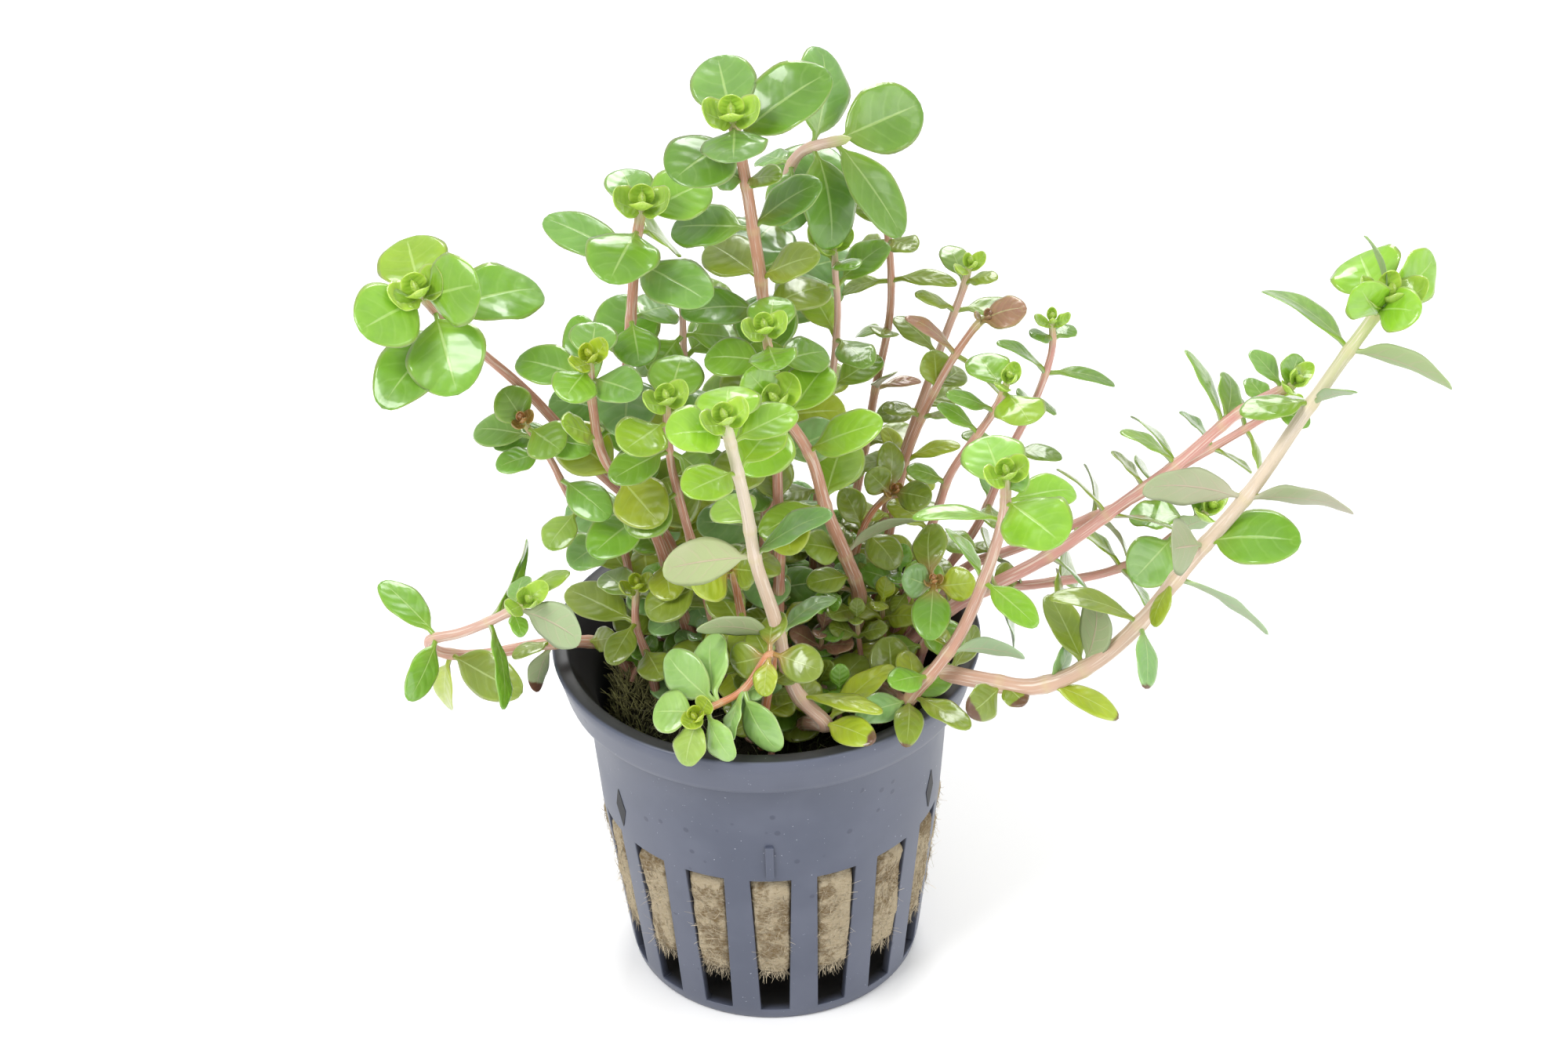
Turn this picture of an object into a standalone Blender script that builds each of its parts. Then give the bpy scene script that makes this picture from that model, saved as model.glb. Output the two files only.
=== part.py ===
"""Rotala, a stem plant with round leaves, growing from a wool plug in a slotted net pot.

Sizes below are in millimetres, and shapes are made in metres. The origin is the middle of
the pot's foot, +Z is up and -Y is the front.
"""

import math
from collections import namedtuple

import bmesh
import bpy
from mathutils import Matrix, Vector
from mathutils.bvhtree import BVHTree

MM = 0.001

# Net pot: heights are above the foot, radii are from the axis
RIM_HEIGHT = 48.4
RIM_RADIUS = 27.5
RIM_FACE_WIDTH = 2.1
RIM_EDGE = 0.3
COLLAR_HEIGHT = 42.5
COLLAR_RADIUS = 25.9
BODY_TOP_RADIUS = 23.5
WALL = 1.2
SLOT_TOP_HEIGHT = 25.6
SLOT_TOP_RADIUS = 22.2
SLOT_FOOT_HEIGHT = 1.8
SLOT_FOOT_RADIUS = 19.3
FOOT_RADIUS = 18.2
FLOOR = 1.5
SLOTS = 16
SLOT_TOP_HALF_ANGLE = 0.119
SLOT_FOOT_HALF_ANGLE = 0.096
FRONT_SLOT_ANGLE = -math.pi / 2 - 0.024
MARK_RIB = (1.1, 5.4, 0.45)
POT_SIDES = 32

# Wool plug, which stops short of the pot's floor and of its rim
PLUG_TOP = 41.0
PLUG_TOP_RADIUS = 20.4
PLUG_SHOULDER = 2.2
PLUG_FOOT = 6.6
PLUG_GAP = 0.5
PLUG_SIDES = 24
STEM_GAP = 0.3

# Stems are square, and thin towards the tip
STEM_SQUARE = 0.86
STEM_TAPER = 0.35
ROOT_STEP = 0.8
NODE_HEIGHT = 1.3
BUD_HEIGHT = 2.6
BEND = 0.5

# Leaf pairs near the tip: distance from it, size as a part of the full leaf, rise in degrees
TIP_STEPS = (0.2, 3.2, 6.4)
TIP_SIZES = (0.42, 0.68, 0.94)
TIP_RISES = (58, 38, 24)
FOOT_SIZE = 0.68
BARE_FOOT = 15.0

# Near a tip the leaves face the light more than those below: how much more, and how far down
TIP_LIGHT = 0.8
TIP_LIGHT_REACH = 6.0

# A leaf's corners, as parts of its length and width
LEAF_MIDDLE = 0.46
LEAF_FAR = 0.83
LEAF_FAR_WIDTH = 0.78
LEAF_THICKNESS = 0.6
LEAF_ARCH = 0.05
LIGHT = Vector((0.0, -0.6, 0.8))
CLEARANCE = 0.3
LEAF_EDGE_OF = {
    (True, True): "left", (False, True): "top", (False, False): "right", (True, False): "under"}

# What a leaf tries, in turn, where it would touch a neighbour: twist and rise in degrees, size
LEAF_TRIES = (
    (0, 0, 1.0), (14, 0, 1.0), (-14, 0, 1.0), (0, 14, 1.0), (0, -14, 1.0), (24, 8, 0.95),
    (-24, 8, 0.95), (20, -12, 0.9), (-20, -12, 0.9), (0, 26, 0.85), (34, 0, 0.8), (-34, 0, 0.8),
    (0, -24, 0.75), (0, 0, 0.65), (28, 18, 0.65), (-28, 18, 0.65),
)

# route: points in mm from the plug to the tip; thick: stem diameter; leaf: length and width;
# gap: between leaf pairs; turn: degrees of the first pair about the stem; rise: degrees above
# square to the stem; light: how far leaves turn to the light, 0 to 1; tint: which leaf colour
Shoot = namedtuple("Shoot", "route thick leaf gap turn rise light tint")
Leaf = namedtuple("Leaf", "out length width roll")

SHOOTS = {
    "shoot_top_centre": Shoot(
        [(-1, 3, 41), (1, 1, 73), (1, -1, 97), (0, -3, 110), (-1, -5, 120), (-2, -7, 127)],
        2.0, (12, 9.5), 8.5, 0, 14, 0.5, "green"),
    "shoot_top_right": Shoot(
        [(3, 14, 41), (3, 14, 69), (4, 13, 91), (4, 12, 105), (6, 11, 112), (12, 9, 115)],
        1.9, (13, 10.5), 8.5, 60, 14, 0.4, "green"),
    "shoot_left_top": Shoot(
        [(-12, 12, 41), (-16, 6, 65), (-16, 1, 87), (-15, -1, 98), (-14, -3, 108), (-13, -4, 114)],
        1.8, (12, 9.5), 8.5, 0, 10, 0.5, "green"),
    "shoot_left_far": Shoot(
        [(-9, 6, 41), (-12, 2, 62), (-20, 0, 74), (-28, -2, 87), (-36, -5, 98), (-40, -9, 106)],
        1.6, (12, 10), 8.0, 20, 6, 0.6, "green"),
    "shoot_left_mid": Shoot(
        [(-8, -1, 41), (-14, -4, 69), (-19, -8, 81), (-20, -10, 90), (-20, -12, 98)],
        1.6, (11, 8), 8.0, 40, 10, 0.5, "green"),
    "shoot_left_low": Shoot(
        [(-16, 3, 41), (-18, 0, 64), (-23, -2, 70), (-26, -4, 79), (-29, -6, 86)],
        1.2, (9, 7), 7.5, 30, 8, 0.5, "olive"),
    "shoot_left_inner": Shoot(
        [(-4, -5, 41), (-10, -9, 75), (-11, -12, 85), (-11, -14, 93)],
        1.4, (10, 8), 8.0, 20, 10, 0.5, "green"),
    "shoot_left_short": Shoot(
        [(-14, -5, 41), (-15, -6, 49), (-16.4, -6, 55), (-16, -6, 61)],
        1.3, (10, 7), 7.0, 20, 12, 0.5, "olive"),
    "shoot_left_trailing": Shoot(
        [(-17, 0, 41), (-20, -1, 48), (-27, -4, 51), (-36, -6, 51), (-41, -8, 53), (-42, -11, 57),
         (-38, -14, 60), (-34, -16, 63), (-29, -18, 67)],
        1.7, (11, 6), 8.5, 50, 15, 0.2, "green"),
    "shoot_front_pale": Shoot(
        [(4, -12, 41), (4.5, -13.5, 44), (6, -17.5, 46.8), (6.8, -20, 49), (3, -17.5, 52.8),
         (1, -17, 63), (-1, -21, 74), (-2, -25, 85), (-4, -30, 100)],
        2.0, (10.5, 8), 9.5, 20, 5, 0.5, "green"),
    "shoot_front_small": Shoot(
        [(-1, -14.5, 41), (-0.5, -17.5, 49), (0.6, -20, 59.6), (-3, -21, 55), (-7, -23, 54), (-9, -25, 54)],
        1.3, (8, 6), 5.0, 30, 20, 0.5, "fresh"),
    "shoot_front_right": Shoot(
        [(12, -2, 41), (12.3, -3.5, 43.6), (14.5, -9, 45.8), (17, -14.5, 47.6), (18.2, -16.8, 50.5),
         (23.6, -16, 58), (27, -17, 68), (29, -19, 78), (29, -22, 86)],
        1.9, (10, 7.5), 9.0, 20, 8, 0.5, "green"),
    "shoot_centre_pink": Shoot(
        [(9, 3, 41), (11, 1, 47), (12, 0, 54), (10, -3, 63), (8, -6, 71), (6, -10, 82), (2, -14, 92)],
        2.0, (12, 9.5), 9.0, 45, 12, 0.6, "green"),
    "shoot_centre": Shoot(
        [(1, -3, 41), (2, -4, 64), (2, -5, 73), (2, -8, 90), (1, -10, 100)],
        1.6, (10, 7.5), 8.0, 10, 14, 0.5, "green"),
    "shoot_back_left": Shoot(
        [(-5, 12, 41), (-7, 10, 60), (-8, 9, 70), (-9, 6, 86), (-9, 4, 96), (-10, 3, 100)],
        1.2, (9, 7), 8.5, 20, 6, 0.4, "green"),
    "shoot_back_slim": Shoot(
        [(6, 11, 41), (7, 11, 60), (10, 9, 87), (10, 8, 97), (10, 8, 101)],
        1.2, (9, 5.5), 8.0, 30, 18, 0.3, "olive"),
    "shoot_back_tall": Shoot(
        [(9, 16, 41), (13, 17, 62), (15, 17, 74), (17, 16, 86), (17, 15, 96), (16, 15, 102)],
        1.3, (9, 5), 9.0, 20, 10, 0.3, "olive"),
    "shoot_back_right": Shoot(
        [(12, 12, 41), (16, 13, 58), (19, 14, 68), (23, 14, 81), (26, 14, 90), (27, 14, 94)],
        1.4, (8, 4.5), 8.5, 35, 12, 0.3, "olive"),
    "shoot_brown_leaf": Shoot(
        [(13, 7, 41), (17, 8, 62), (19, 8, 71), (23, 8, 81), (27, 8, 88), (29, 8, 90)],
        1.4, (8, 5), 8.5, 10, 14, 0.3, "brown"),
    "shoot_right_slim": Shoot(
        [(15, 3, 41), (22, 3, 64), (24, 2, 71), (29, 1, 80), (31, 1, 85)],
        1.4, (8, 5), 8.0, 60, 12, 0.4, "olive"),
    "shoot_right_thin": Shoot(
        [(16, 9, 41), (27, 10, 56), (32, 10, 69), (35, 10, 76), (37, 10, 83), (37, 10, 88)],
        1.3, (8, 4), 8.0, 0, 15, 0.2, "olive"),
    "shoot_right_arch": Shoot(
        [(17.5, -7, 41), (19, -9.5, 47), (22, -13, 50.6), (26, -15, 51), (33, -17, 51), (40, -17, 54),
         (46, -17, 60), (52, -17, 69), (59, -17, 79), (65, -15, 88), (70, -13, 95), (75, -12, 102.5)],
        2.3, (13, 6), 12.0, 10, 8, 0.2, "green"),
    "shoot_right_red": Shoot(
        [(15, -1, 41), (18, 0, 46), (24, 1, 51), (36, 4, 56), (45, 7, 61), (53, 8, 67), (61, 9, 74),
         (68, 9, 78)],
        2.0, (10, 5.5), 9.0, 60, 14, 0.1, "olive"),
    "shoot_right_behind": Shoot(
        [(17, 6, 41), (22, 8, 48), (27, 9, 52), (33, 11, 53), (42, 14, 55), (49, 16, 57), (55, 17, 61),
         (62, 18, 65), (68, 18, 69)],
        1.5, (9, 5), 9.0, 30, 16, 0.2, "olive"),
    "shoot_right_low": Shoot(
        [(17, 1, 41), (19, 2, 46), (22, 4, 50), (28, 5, 51), (36, 7, 50), (47, 9, 51), (58, 11, 58)],
        1.5, (11, 7), 9.0, 70, 10, 0.3, "olive"),
    "rosette_right": Shoot(
        [(18, -3, 41), (21, -6, 54), (21, -10, 63)],
        1.4, (8, 6), 6.0, 15, 10, 0.6, "olive"),
    "rosette_left": Shoot(
        [(-1, -8, 41), (-3, -11, 59), (-4, -14, 69)],
        1.4, (10, 7), 6.5, 30, 10, 0.6, "olive"),
    "rosette_brown": Shoot(
        [(9, 8, 41), (12, 5, 58), (14, 4, 64), (17, 3, 68)],
        1.2, (8, 5.5), 6.5, 40, 10, 0.6, "brown"),
}

# Leaves that show in the plant's outline: the node's distance from the shoot's tip, how far the
# leaf reaches to the right, to the back and up, its width, and how many degrees its blade is
# rolled about its length, where it is. The other leaves follow a rule
SHOWN_LEAVES = {
    "shoot_top_centre": [
        (2, (-2, 9, 5), 8), (2, (0, -8, 0), 8), (4, (-7, -8, 2), 9), (4, (11, 3, 7), 9),
        (11, (4, -4, 3), 4), (11, (-4, -1, 3), 5), (18, (-10, 4, -2), 7), (18, (8, -1, 7), 6),
        (26, (-6, 6, 2), 7), (26, (7, -3, 5), 6), (31, (-10, -4, 3), 6), (31, (8, 6, 0), 6)],
    "shoot_top_right": [
        (2, (11, 5, 2), 9), (2, (8, -6, -10), 7), (5, (2, 9, 9), 8), (5, (2, -6, -11), 9),
        (9, (1, -8, -5), 6), (9, (-4, 4, -1), 5)],
    "shoot_left_top": [
        (2, (-2, 7, 3), 6), (2, (7, 6, 3), 8), (4, (-3, -10, -1), 9), (4, (4, 5, -5), 7),
        (9, (-11, 6, 3), 6), (9, (12, -4, -1), 8), (18, (1, -6, -3), 6), (18, (5, 6, -2), 6)],
    "shoot_left_far": [
        (1.5, (-2, 8, 4), 9), (1.5, (7, -5, 5), 9, 30), (1.5, (-7, -7, 0), 9, -20),
        (4.7, (3, -9, -6), 10), (5.6, (12, 8, -1), 9), (8.7, (-8, -12, 0), 8, -10),
        (31, (-8, -4, -1), 4)],
    "shoot_left_mid": [
        (2, (1, 6, 3), 6), (2, (-3, -5, -1), 6), (4, (-9, 4, 1), 6), (4, (6, -5, 1), 6),
        (7, (-4, 7, 7), 5), (14, (-4, -3, 4), 5), (14, (5, 6, 0), 6)],
    "shoot_left_low": [
        (2, (-4, 4, 4), 6), (2, (4, -4, -1), 6), (4, (-8, 4, -1), 5), (4, (7, -3, 0), 5),
        (7, (-6, -3, 0), 4), (12, (6, -6, -2), 5), (18, (-4, -4, -3), 5)],
    "shoot_left_inner": [
        (2, (2, 8, 3), 7), (4, (-5, -6, 0), 7), (4, (6, 5, 0), 6), (9, (-7, -5, -1), 5),
        (9, (5, 2, -7), 6)],
    "shoot_left_short": [
        (2.5, (-4, 5, 1), 5), (2.5, (3, 4, 0), 5), (6, (-7, 8, 2), 6), (6, (-3, -6, -2), 4)],
    "shoot_left_trailing": [
        (2, (8, -4, -2), 6, -120), (2, (1, 4, 2), 4, -60), (3, (6, 4, 5), 5, -60),
        (3, (3, -3, -1), 3), (6.7, (5, 10, 5), 5, 50), (6.7, (2, -10, -6), 5, -30),
        (16.2, (-7, 7, 4), 5), (16.2, (-3, -9, -3), 4), (24.9, (9, -7, -1), 6), (24.9, (-1, -1, -8), 5),
        (38.3, (-5, -4, 1), 3, -50), (38.3, (-2, -4, -5), 4, 70)],
    "shoot_front_pale": [
        (3, (0, 8, 2), 8), (3, (-7, -4, 3), 7), (4.5, (8, 5, 1), 5), (10, (-6, -6, 1), 6),
        (10, (5, 6, 3), 6), (21, (-3, 6, 1), 6), (26.7, (-11, -6, 3), 6, 130), (26.7, (9, -3, 8), 5, -20),
        (43, (-10, -3, 4), 5, 80), (43, (7, 6, 2), 4, -20), (52, (10, -5, 1), 4, -20),
        (57, (9, -7, -1), 5), (57, (9, 7, 4), 5, -40)],
    "shoot_front_right": [
        (4, (-2, 8, 3), 8), (4, (2, -1, 5), 5), (6, (6, -9, 0), 9), (6, (9, 4, -1), 5),
        (9.5, (-11, -1, 2), 4, 30), (20, (6, -7, -2), 4, 10), (20, (-4, 8, 3), 4, 40),
        (31.7, (9, -6, 3), 4, -70), (31.7, (-2, 5, 1), 3), (39.6, (7, -7, 0), 4, -10),
        (39.6, (0, 7, 2), 4, 10), (41.2, (-7, -4, 3), 4), (41.2, (0, -7, -3), 4, -20)],
    "shoot_centre_pink": [
        (2, (-4, 0, 6), 6), (4, (0, 10, 5), 8), (4, (-6, -8, -2), 9), (11, (9, -4, 6), 6),
        (22, (3, 8, 5), 7), (22, (-8, -5, -1), 5), (33, (10, -3, 7), 4, -80), (33, (-5, -2, 3), 5),
        (41.9, (-8, 3, 0), 4, 40), (41.9, (6, 4, -3), 4), (46.5, (7, 5, 1), 4, 80),
        (49, (-4, -5, -3), 4, 20), (49, (3, -5, 0), 3, 10)],
    "shoot_centre": [
        (3, (1, 7, 3), 6), (3, (1, -7, 1), 6), (6, (-8, 1, 1), 6), (6, (7, 4, -1), 6)],
    "shoot_back_left": [
        (5, (-6, 5, -2), 6), (5, (6, 4, 0), 5), (10, (-4, -4, -3), 6), (10, (6, 2, -2), 6),
        (14, (6, 5, 2), 7), (14, (-6, 3, -2), 6)],
    "shoot_back_tall": [
        (3, (1, 5, 2), 3), (3, (-4, 2, 3), 3), (5, (3, -4, 1), 4), (5, (-4, 2, -2), 4),
        (11, (8, -3, 1), 3), (11, (-6, 3, -2), 3), (19, (-4, 3, -2), 3), (19, (-1, -4, 2), 4),
        (28, (2, -3, 4), 4), (28, (6, 2, 0), 2)],
    "shoot_back_right": [
        (3, (-2, 5, 3), 4), (3, (4, -2, 2), 3), (7, (-5, -2, 4), 3), (7, (9, 1, -1), 4),
        (14, (-6, 2, 4), 4)],
    "shoot_brown_leaf": [
        (2, (6, -1, 3), 5), (7, (-6, 0, 6), 3), (7, (6, 0, -6), 3), (13, (0, 2, 5), 5),
        (13, (4, 5, 0), 4), (17, (-5, 1, 1), 3), (17, (4, -3, 2), 3), (24, (7, -1, 3), 3),
        (24, (-6, 1, -1), 4)],
    "shoot_right_slim": [
        (2, (-3, 6, 2), 6), (2, (3, -6, -1), 7), (5, (-6, -2, 4), 3), (9, (-5, 1, 4), 3),
        (18, (-5, -1, 3), 3)],
    "shoot_right_thin": [
        (3, (-3, -2, 2), 3), (3, (3, 3, 0), 3), (8, (-6, -2, 6), 3), (8, (9, 2, -3), 3),
        (13, (3, 2, -2), 3), (13, (-2, -2, 3), 3)],
    "shoot_right_arch": [
        (1, (-2, 9, 2), 9, -30), (1, (5, 7, 4), 7, 50), (2.4, (-3, -4, 6), 6, -90),
        (2.4, (4, -6, 4), 6, 60), (8, (-9, 9, 4), 6), (8, (11, -9, 0), 6, -40), (15.8, (-9, -3, 1), 5),
        (15.8, (4, -5, 5), 4, 10), (30, (-13, -3, 4), 6, 90), (30, (12, -7, 3), 6, -40),
        (38, (11, -4, 3), 8, 30), (38, (-5, -5, 3), 7, 140), (44, (11, -5, -5), 4, -50),
        (44, (-3, -3, -5), 4, 70), (52, (-11, 0, 5), 4), (52, (0, -8, -4), 4, -10),
        (61.4, (-4, 8, 6), 5, -30), (61.4, (2, 2, 9), 6, 60), (66.5, (9, -3, -3), 4, 20),
        (66.5, (3, 3, 4), 4), (72.4, (-4, -5, -1), 5, 20), (72.4, (3, -3, -1), 4, 50)],
    "shoot_right_red": [
        (2, (-4, 3, 4), 4), (2, (2, 2, 4), 4), (8, (8, -2, 3), 5), (11, (-4, 6, 8), 5),
        (11, (0, 7, 3), 5), (19, (-7, 1, 5), 4), (19, (-6, 7, 4), 4), (24, (-4, 3, 4), 4),
        (24, (7, 2, 0), 3), (30, (9, -2, -1), 4), (30, (-6, 4, 5), 3)],
    "shoot_right_behind": [
        (2, (5, -1, -1), 4), (2, (-3, 4, 3), 4), (6, (2, -3, -5), 3), (6, (-2, 4, 4), 4),
        (11, (5, -3, -2), 3), (11, (-4, 3, 4), 4)],
    "shoot_right_low": [
        (3, (-8, 2, 0), 7), (3, (3, 4, 3), 5), (6, (-6, -7, -2), 7), (6, (4, -2, 4), 4),
        (14, (-4, 6, 5), 5), (14, (3, -6, -2), 4)],
    "shoot_front_small": [
        (1, (-2, -4, -5), 5, 20), (1, (-6, 2, -1), 6, 20), (2.2, (3, -5, -4), 5, 20),
        (3.8, (1, 7, 6), 6), (3.8, (-7, 3, 5), 6), (7.6, (4, -5, -6), 6), (7.6, (-2, -5, -4), 4, 20),
        (13.7, (6, -4, 0), 5), (13.7, (-5, 3, -2), 5, -20)],
    "rosette_right": [
        (1, (0, 6, 5), 5, -30), (1, (-1, -8, -3), 5), (2, (-4, -2, 3), 4.5, -30),
        (2, (5, -2, 2), 4.5, 30)],
    "rosette_brown": [
        (1, (-3, -1, 4), 4, -40), (1, (5, -3, 1), 4.5, 10), (2.2, (1, 4, 6), 4.5, 20)],
    "rosette_left": [
        (1, (-5, -5, 1), 6, -30), (1, (3, -5, 3), 5, 40), (3, (5, 5, 0), 6), (3, (-5, 6, 1), 6)],
}

TINTS = {
    "green": (0.13, 0.36, 0.035),
    "fresh": (0.22, 0.50, 0.05),
    "olive": (0.13, 0.24, 0.03),
    "brown": (0.17, 0.13, 0.04),
}


def clear_scene():
    for item in list(bpy.data.objects):
        bpy.data.objects.remove(item, do_unlink=True)


def new_collection(name):
    made = bpy.data.collections.new(name)
    bpy.context.scene.collection.children.link(made)
    return made


def material(name, colour, roughness):
    made = bpy.data.materials.new(name)
    made.use_nodes = True
    shader = made.node_tree.nodes["Principled BSDF"]
    shader.inputs["Base Color"].default_value = (*colour, 1.0)
    shader.inputs["Roughness"].default_value = roughness
    shader.inputs["Metallic"].default_value = 0.0
    return made


def add_object(name, mesh, collection, *materials):
    made = bpy.data.objects.new(name, mesh)
    for each in materials:
        mesh.materials.append(each)
    collection.objects.link(made)
    return made


def as_helper(item):
    item.hide_render = True
    item.display_type = "WIRE"


def turned(name, profile, sides, collection, look):
    """A solid turned about Z from (radius, height) points in mm."""
    mesh = bpy.data.meshes.new(name)
    points = [(radius * MM, 0.0, height * MM) for radius, height in profile]
    mesh.from_pydata(points, [(i, i + 1) for i in range(len(points) - 1)], [])
    made = add_object(name, mesh, collection, look)
    screw = made.modifiers.new("turn", "SCREW")
    screw.angle = 2 * math.pi
    screw.steps = sides
    screw.render_steps = sides
    screw.use_merge_vertices = True
    screw.merge_threshold = 0.00001
    return made


def pot_profile():
    """From the middle of the floor's upper side, up the inside, over the rim and down the outside."""
    return [
        (0, FLOOR),
        (SLOT_FOOT_RADIUS - WALL - 0.6, FLOOR),
        (SLOT_FOOT_RADIUS - WALL, FLOOR + 1.0),
        (SLOT_TOP_RADIUS - WALL, SLOT_TOP_HEIGHT),
        (BODY_TOP_RADIUS - WALL, COLLAR_HEIGHT),
        (RIM_RADIUS - RIM_FACE_WIDTH, RIM_HEIGHT - RIM_EDGE),
        (RIM_RADIUS - RIM_FACE_WIDTH + RIM_EDGE, RIM_HEIGHT),
        (RIM_RADIUS - RIM_EDGE, RIM_HEIGHT),
        (RIM_RADIUS, RIM_HEIGHT - RIM_EDGE),
        (COLLAR_RADIUS, COLLAR_HEIGHT),
        (BODY_TOP_RADIUS, COLLAR_HEIGHT - 0.4),
        (SLOT_TOP_RADIUS, SLOT_TOP_HEIGHT),
        (SLOT_FOOT_RADIUS, SLOT_FOOT_HEIGHT + 0.4),
        (SLOT_FOOT_RADIUS - 0.4, 0.6),
        (FOOT_RADIUS, 0),
        (0, 0),
    ]


def slot_cutters(collection):
    """Sixteen wedges, wider at the top, that cut the slots through the wall."""
    inner = SLOT_FOOT_RADIUS - 3 * WALL
    outer = SLOT_TOP_RADIUS + 2 * WALL
    body = bmesh.new()
    for slot in range(SLOTS):
        middle = FRONT_SLOT_ANGLE + slot * 2 * math.pi / SLOTS
        for corner in bmesh.ops.create_cube(body, size=2.0)["verts"]:
            along, across, up = corner.co
            radius = outer if along > 0 else inner
            at_top = up > 0
            half = SLOT_TOP_HALF_ANGLE if at_top else SLOT_FOOT_HALF_ANGLE
            wall = SLOT_TOP_RADIUS if at_top else SLOT_FOOT_RADIUS
            height = SLOT_TOP_HEIGHT if at_top else SLOT_FOOT_HEIGHT
            sideways = wall * math.sin(half) * across
            turn = Matrix.Rotation(middle, 3, "Z")
            corner.co = turn @ Vector((radius, sideways, height)) * MM
    mesh = bpy.data.meshes.new("slots")
    body.to_mesh(mesh)
    body.free()
    made = add_object("slots", mesh, collection)
    as_helper(made)
    return made


def mark_rib(collection):
    """The slim raised rib above the front slot."""
    width, height, proud = MARK_RIB
    foot = SLOT_TOP_HEIGHT + 0.7
    turn = Matrix.Rotation(FRONT_SLOT_ANGLE, 3, "Z")
    body = bmesh.new()
    for corner in bmesh.ops.create_cube(body, size=2.0)["verts"]:
        along, across, up = corner.co
        level = foot + height * (up > 0)
        wall = SLOT_TOP_RADIUS
        wall += (BODY_TOP_RADIUS - SLOT_TOP_RADIUS) * (level - SLOT_TOP_HEIGHT) / (
            COLLAR_HEIGHT - SLOT_TOP_HEIGHT)
        radius = wall + (proud if along > 0 else -WALL / 2)
        corner.co = turn @ Vector((radius, across * width / 2, level)) * MM
    mesh = bpy.data.meshes.new("mark rib")
    body.to_mesh(mesh)
    body.free()
    made = add_object("mark rib", mesh, collection)
    as_helper(made)
    return made


def boolean(target, other, operation):
    made = target.modifiers.new(operation.lower() + " " + other.name, "BOOLEAN")
    made.operation = operation
    made.object = other
    made.solver = "EXACT"
    return made


def make_pot(parts, helpers):
    look = material("pot plastic", (0.055, 0.062, 0.090), 0.42)
    pot = turned("net_pot", pot_profile(), POT_SIDES, parts, look)
    boolean(pot, mark_rib(helpers), "UNION")
    boolean(pot, slot_cutters(helpers), "DIFFERENCE")
    return pot


def make_plug(parts):
    look = material("rock wool", (0.42, 0.33, 0.20), 0.95)
    side = PLUG_GAP + WALL
    profile = [
        (0, PLUG_TOP),
        (PLUG_TOP_RADIUS - PLUG_SHOULDER, PLUG_TOP - 0.3),
        (PLUG_TOP_RADIUS, PLUG_TOP - PLUG_SHOULDER),
        (SLOT_TOP_RADIUS - side, SLOT_TOP_HEIGHT),
        (SLOT_FOOT_RADIUS - side + 0.4, PLUG_FOOT + 0.8),
        (SLOT_FOOT_RADIUS - side - 0.6, PLUG_FOOT),
        (0, PLUG_FOOT),
    ]
    return turned("rock_wool", profile, PLUG_SIDES, parts, look)


def smooth_route(points, step=1.0):
    """Points about a step apart on a smooth curve through the route's own points."""
    points = [Vector(point) for point in points]
    ends = [2 * points[0] - points[1]] + points + [2 * points[-1] - points[-2]]
    found = []
    for before, start, stop, after in zip(ends, ends[1:], ends[2:], ends[3:]):
        parts = max(2, round((stop - start).length / step))
        for part in range(parts):
            t = part / parts
            found.append(0.5 * (2 * start + (stop - before) * t
                                + (2 * before - 5 * start + 4 * stop - after) * t ** 2
                                + (3 * start - before - 3 * stop + after) * t ** 3))
    return found + [points[-1]]


class Route:
    """A stem's centre line, read by the distance from its foot."""

    def __init__(self, points):
        self.points = smooth_route(points)
        self.along = [0.0]
        for start, stop in zip(self.points, self.points[1:]):
            self.along.append(self.along[-1] + (stop - start).length)
        self.length = self.along[-1]

    def place(self, distance):
        index = 0
        while index < len(self.along) - 2 and self.along[index + 1] < distance:
            index += 1
        share = (distance - self.along[index]) / (self.along[index + 1] - self.along[index])
        return self.points[index].lerp(self.points[index + 1], share)

    def heading(self, distance):
        ahead = self.place(min(self.length, distance + 1.0))
        behind = self.place(max(0.0, distance - 1.0))
        return (ahead - behind).normalized()


def side_of(heading, turn):
    """A direction square to the stem: to the right at a turn of 0, to the back at 90."""
    across = Vector((0, 1, 0)).cross(heading).normalized()
    return Matrix.Rotation(math.radians(turn), 3, heading) @ across


def light_axis(route, shoot, back):
    """The stem's heading at a node, leant towards the light, which the leaves face."""
    share = max(shoot.light, TIP_LIGHT * (1.0 - back / TIP_LIGHT_REACH))
    return route.heading(route.length - back).lerp(LIGHT, share).normalized()


def rule_pair(route, shoot, back, index, size, rise):
    """Two opposite leaves, a quarter turn from the pair before."""
    axis = light_axis(route, shoot, back)
    pair = []
    for side_turn in (0, 180):
        side = side_of(axis, shoot.turn + 90 * index + side_turn)
        out = side * math.cos(math.radians(rise)) + axis * math.sin(math.radians(rise))
        pair.append(Leaf(out, shoot.leaf[0] * size, shoot.leaf[1] * size, 0))
    return pair


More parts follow.
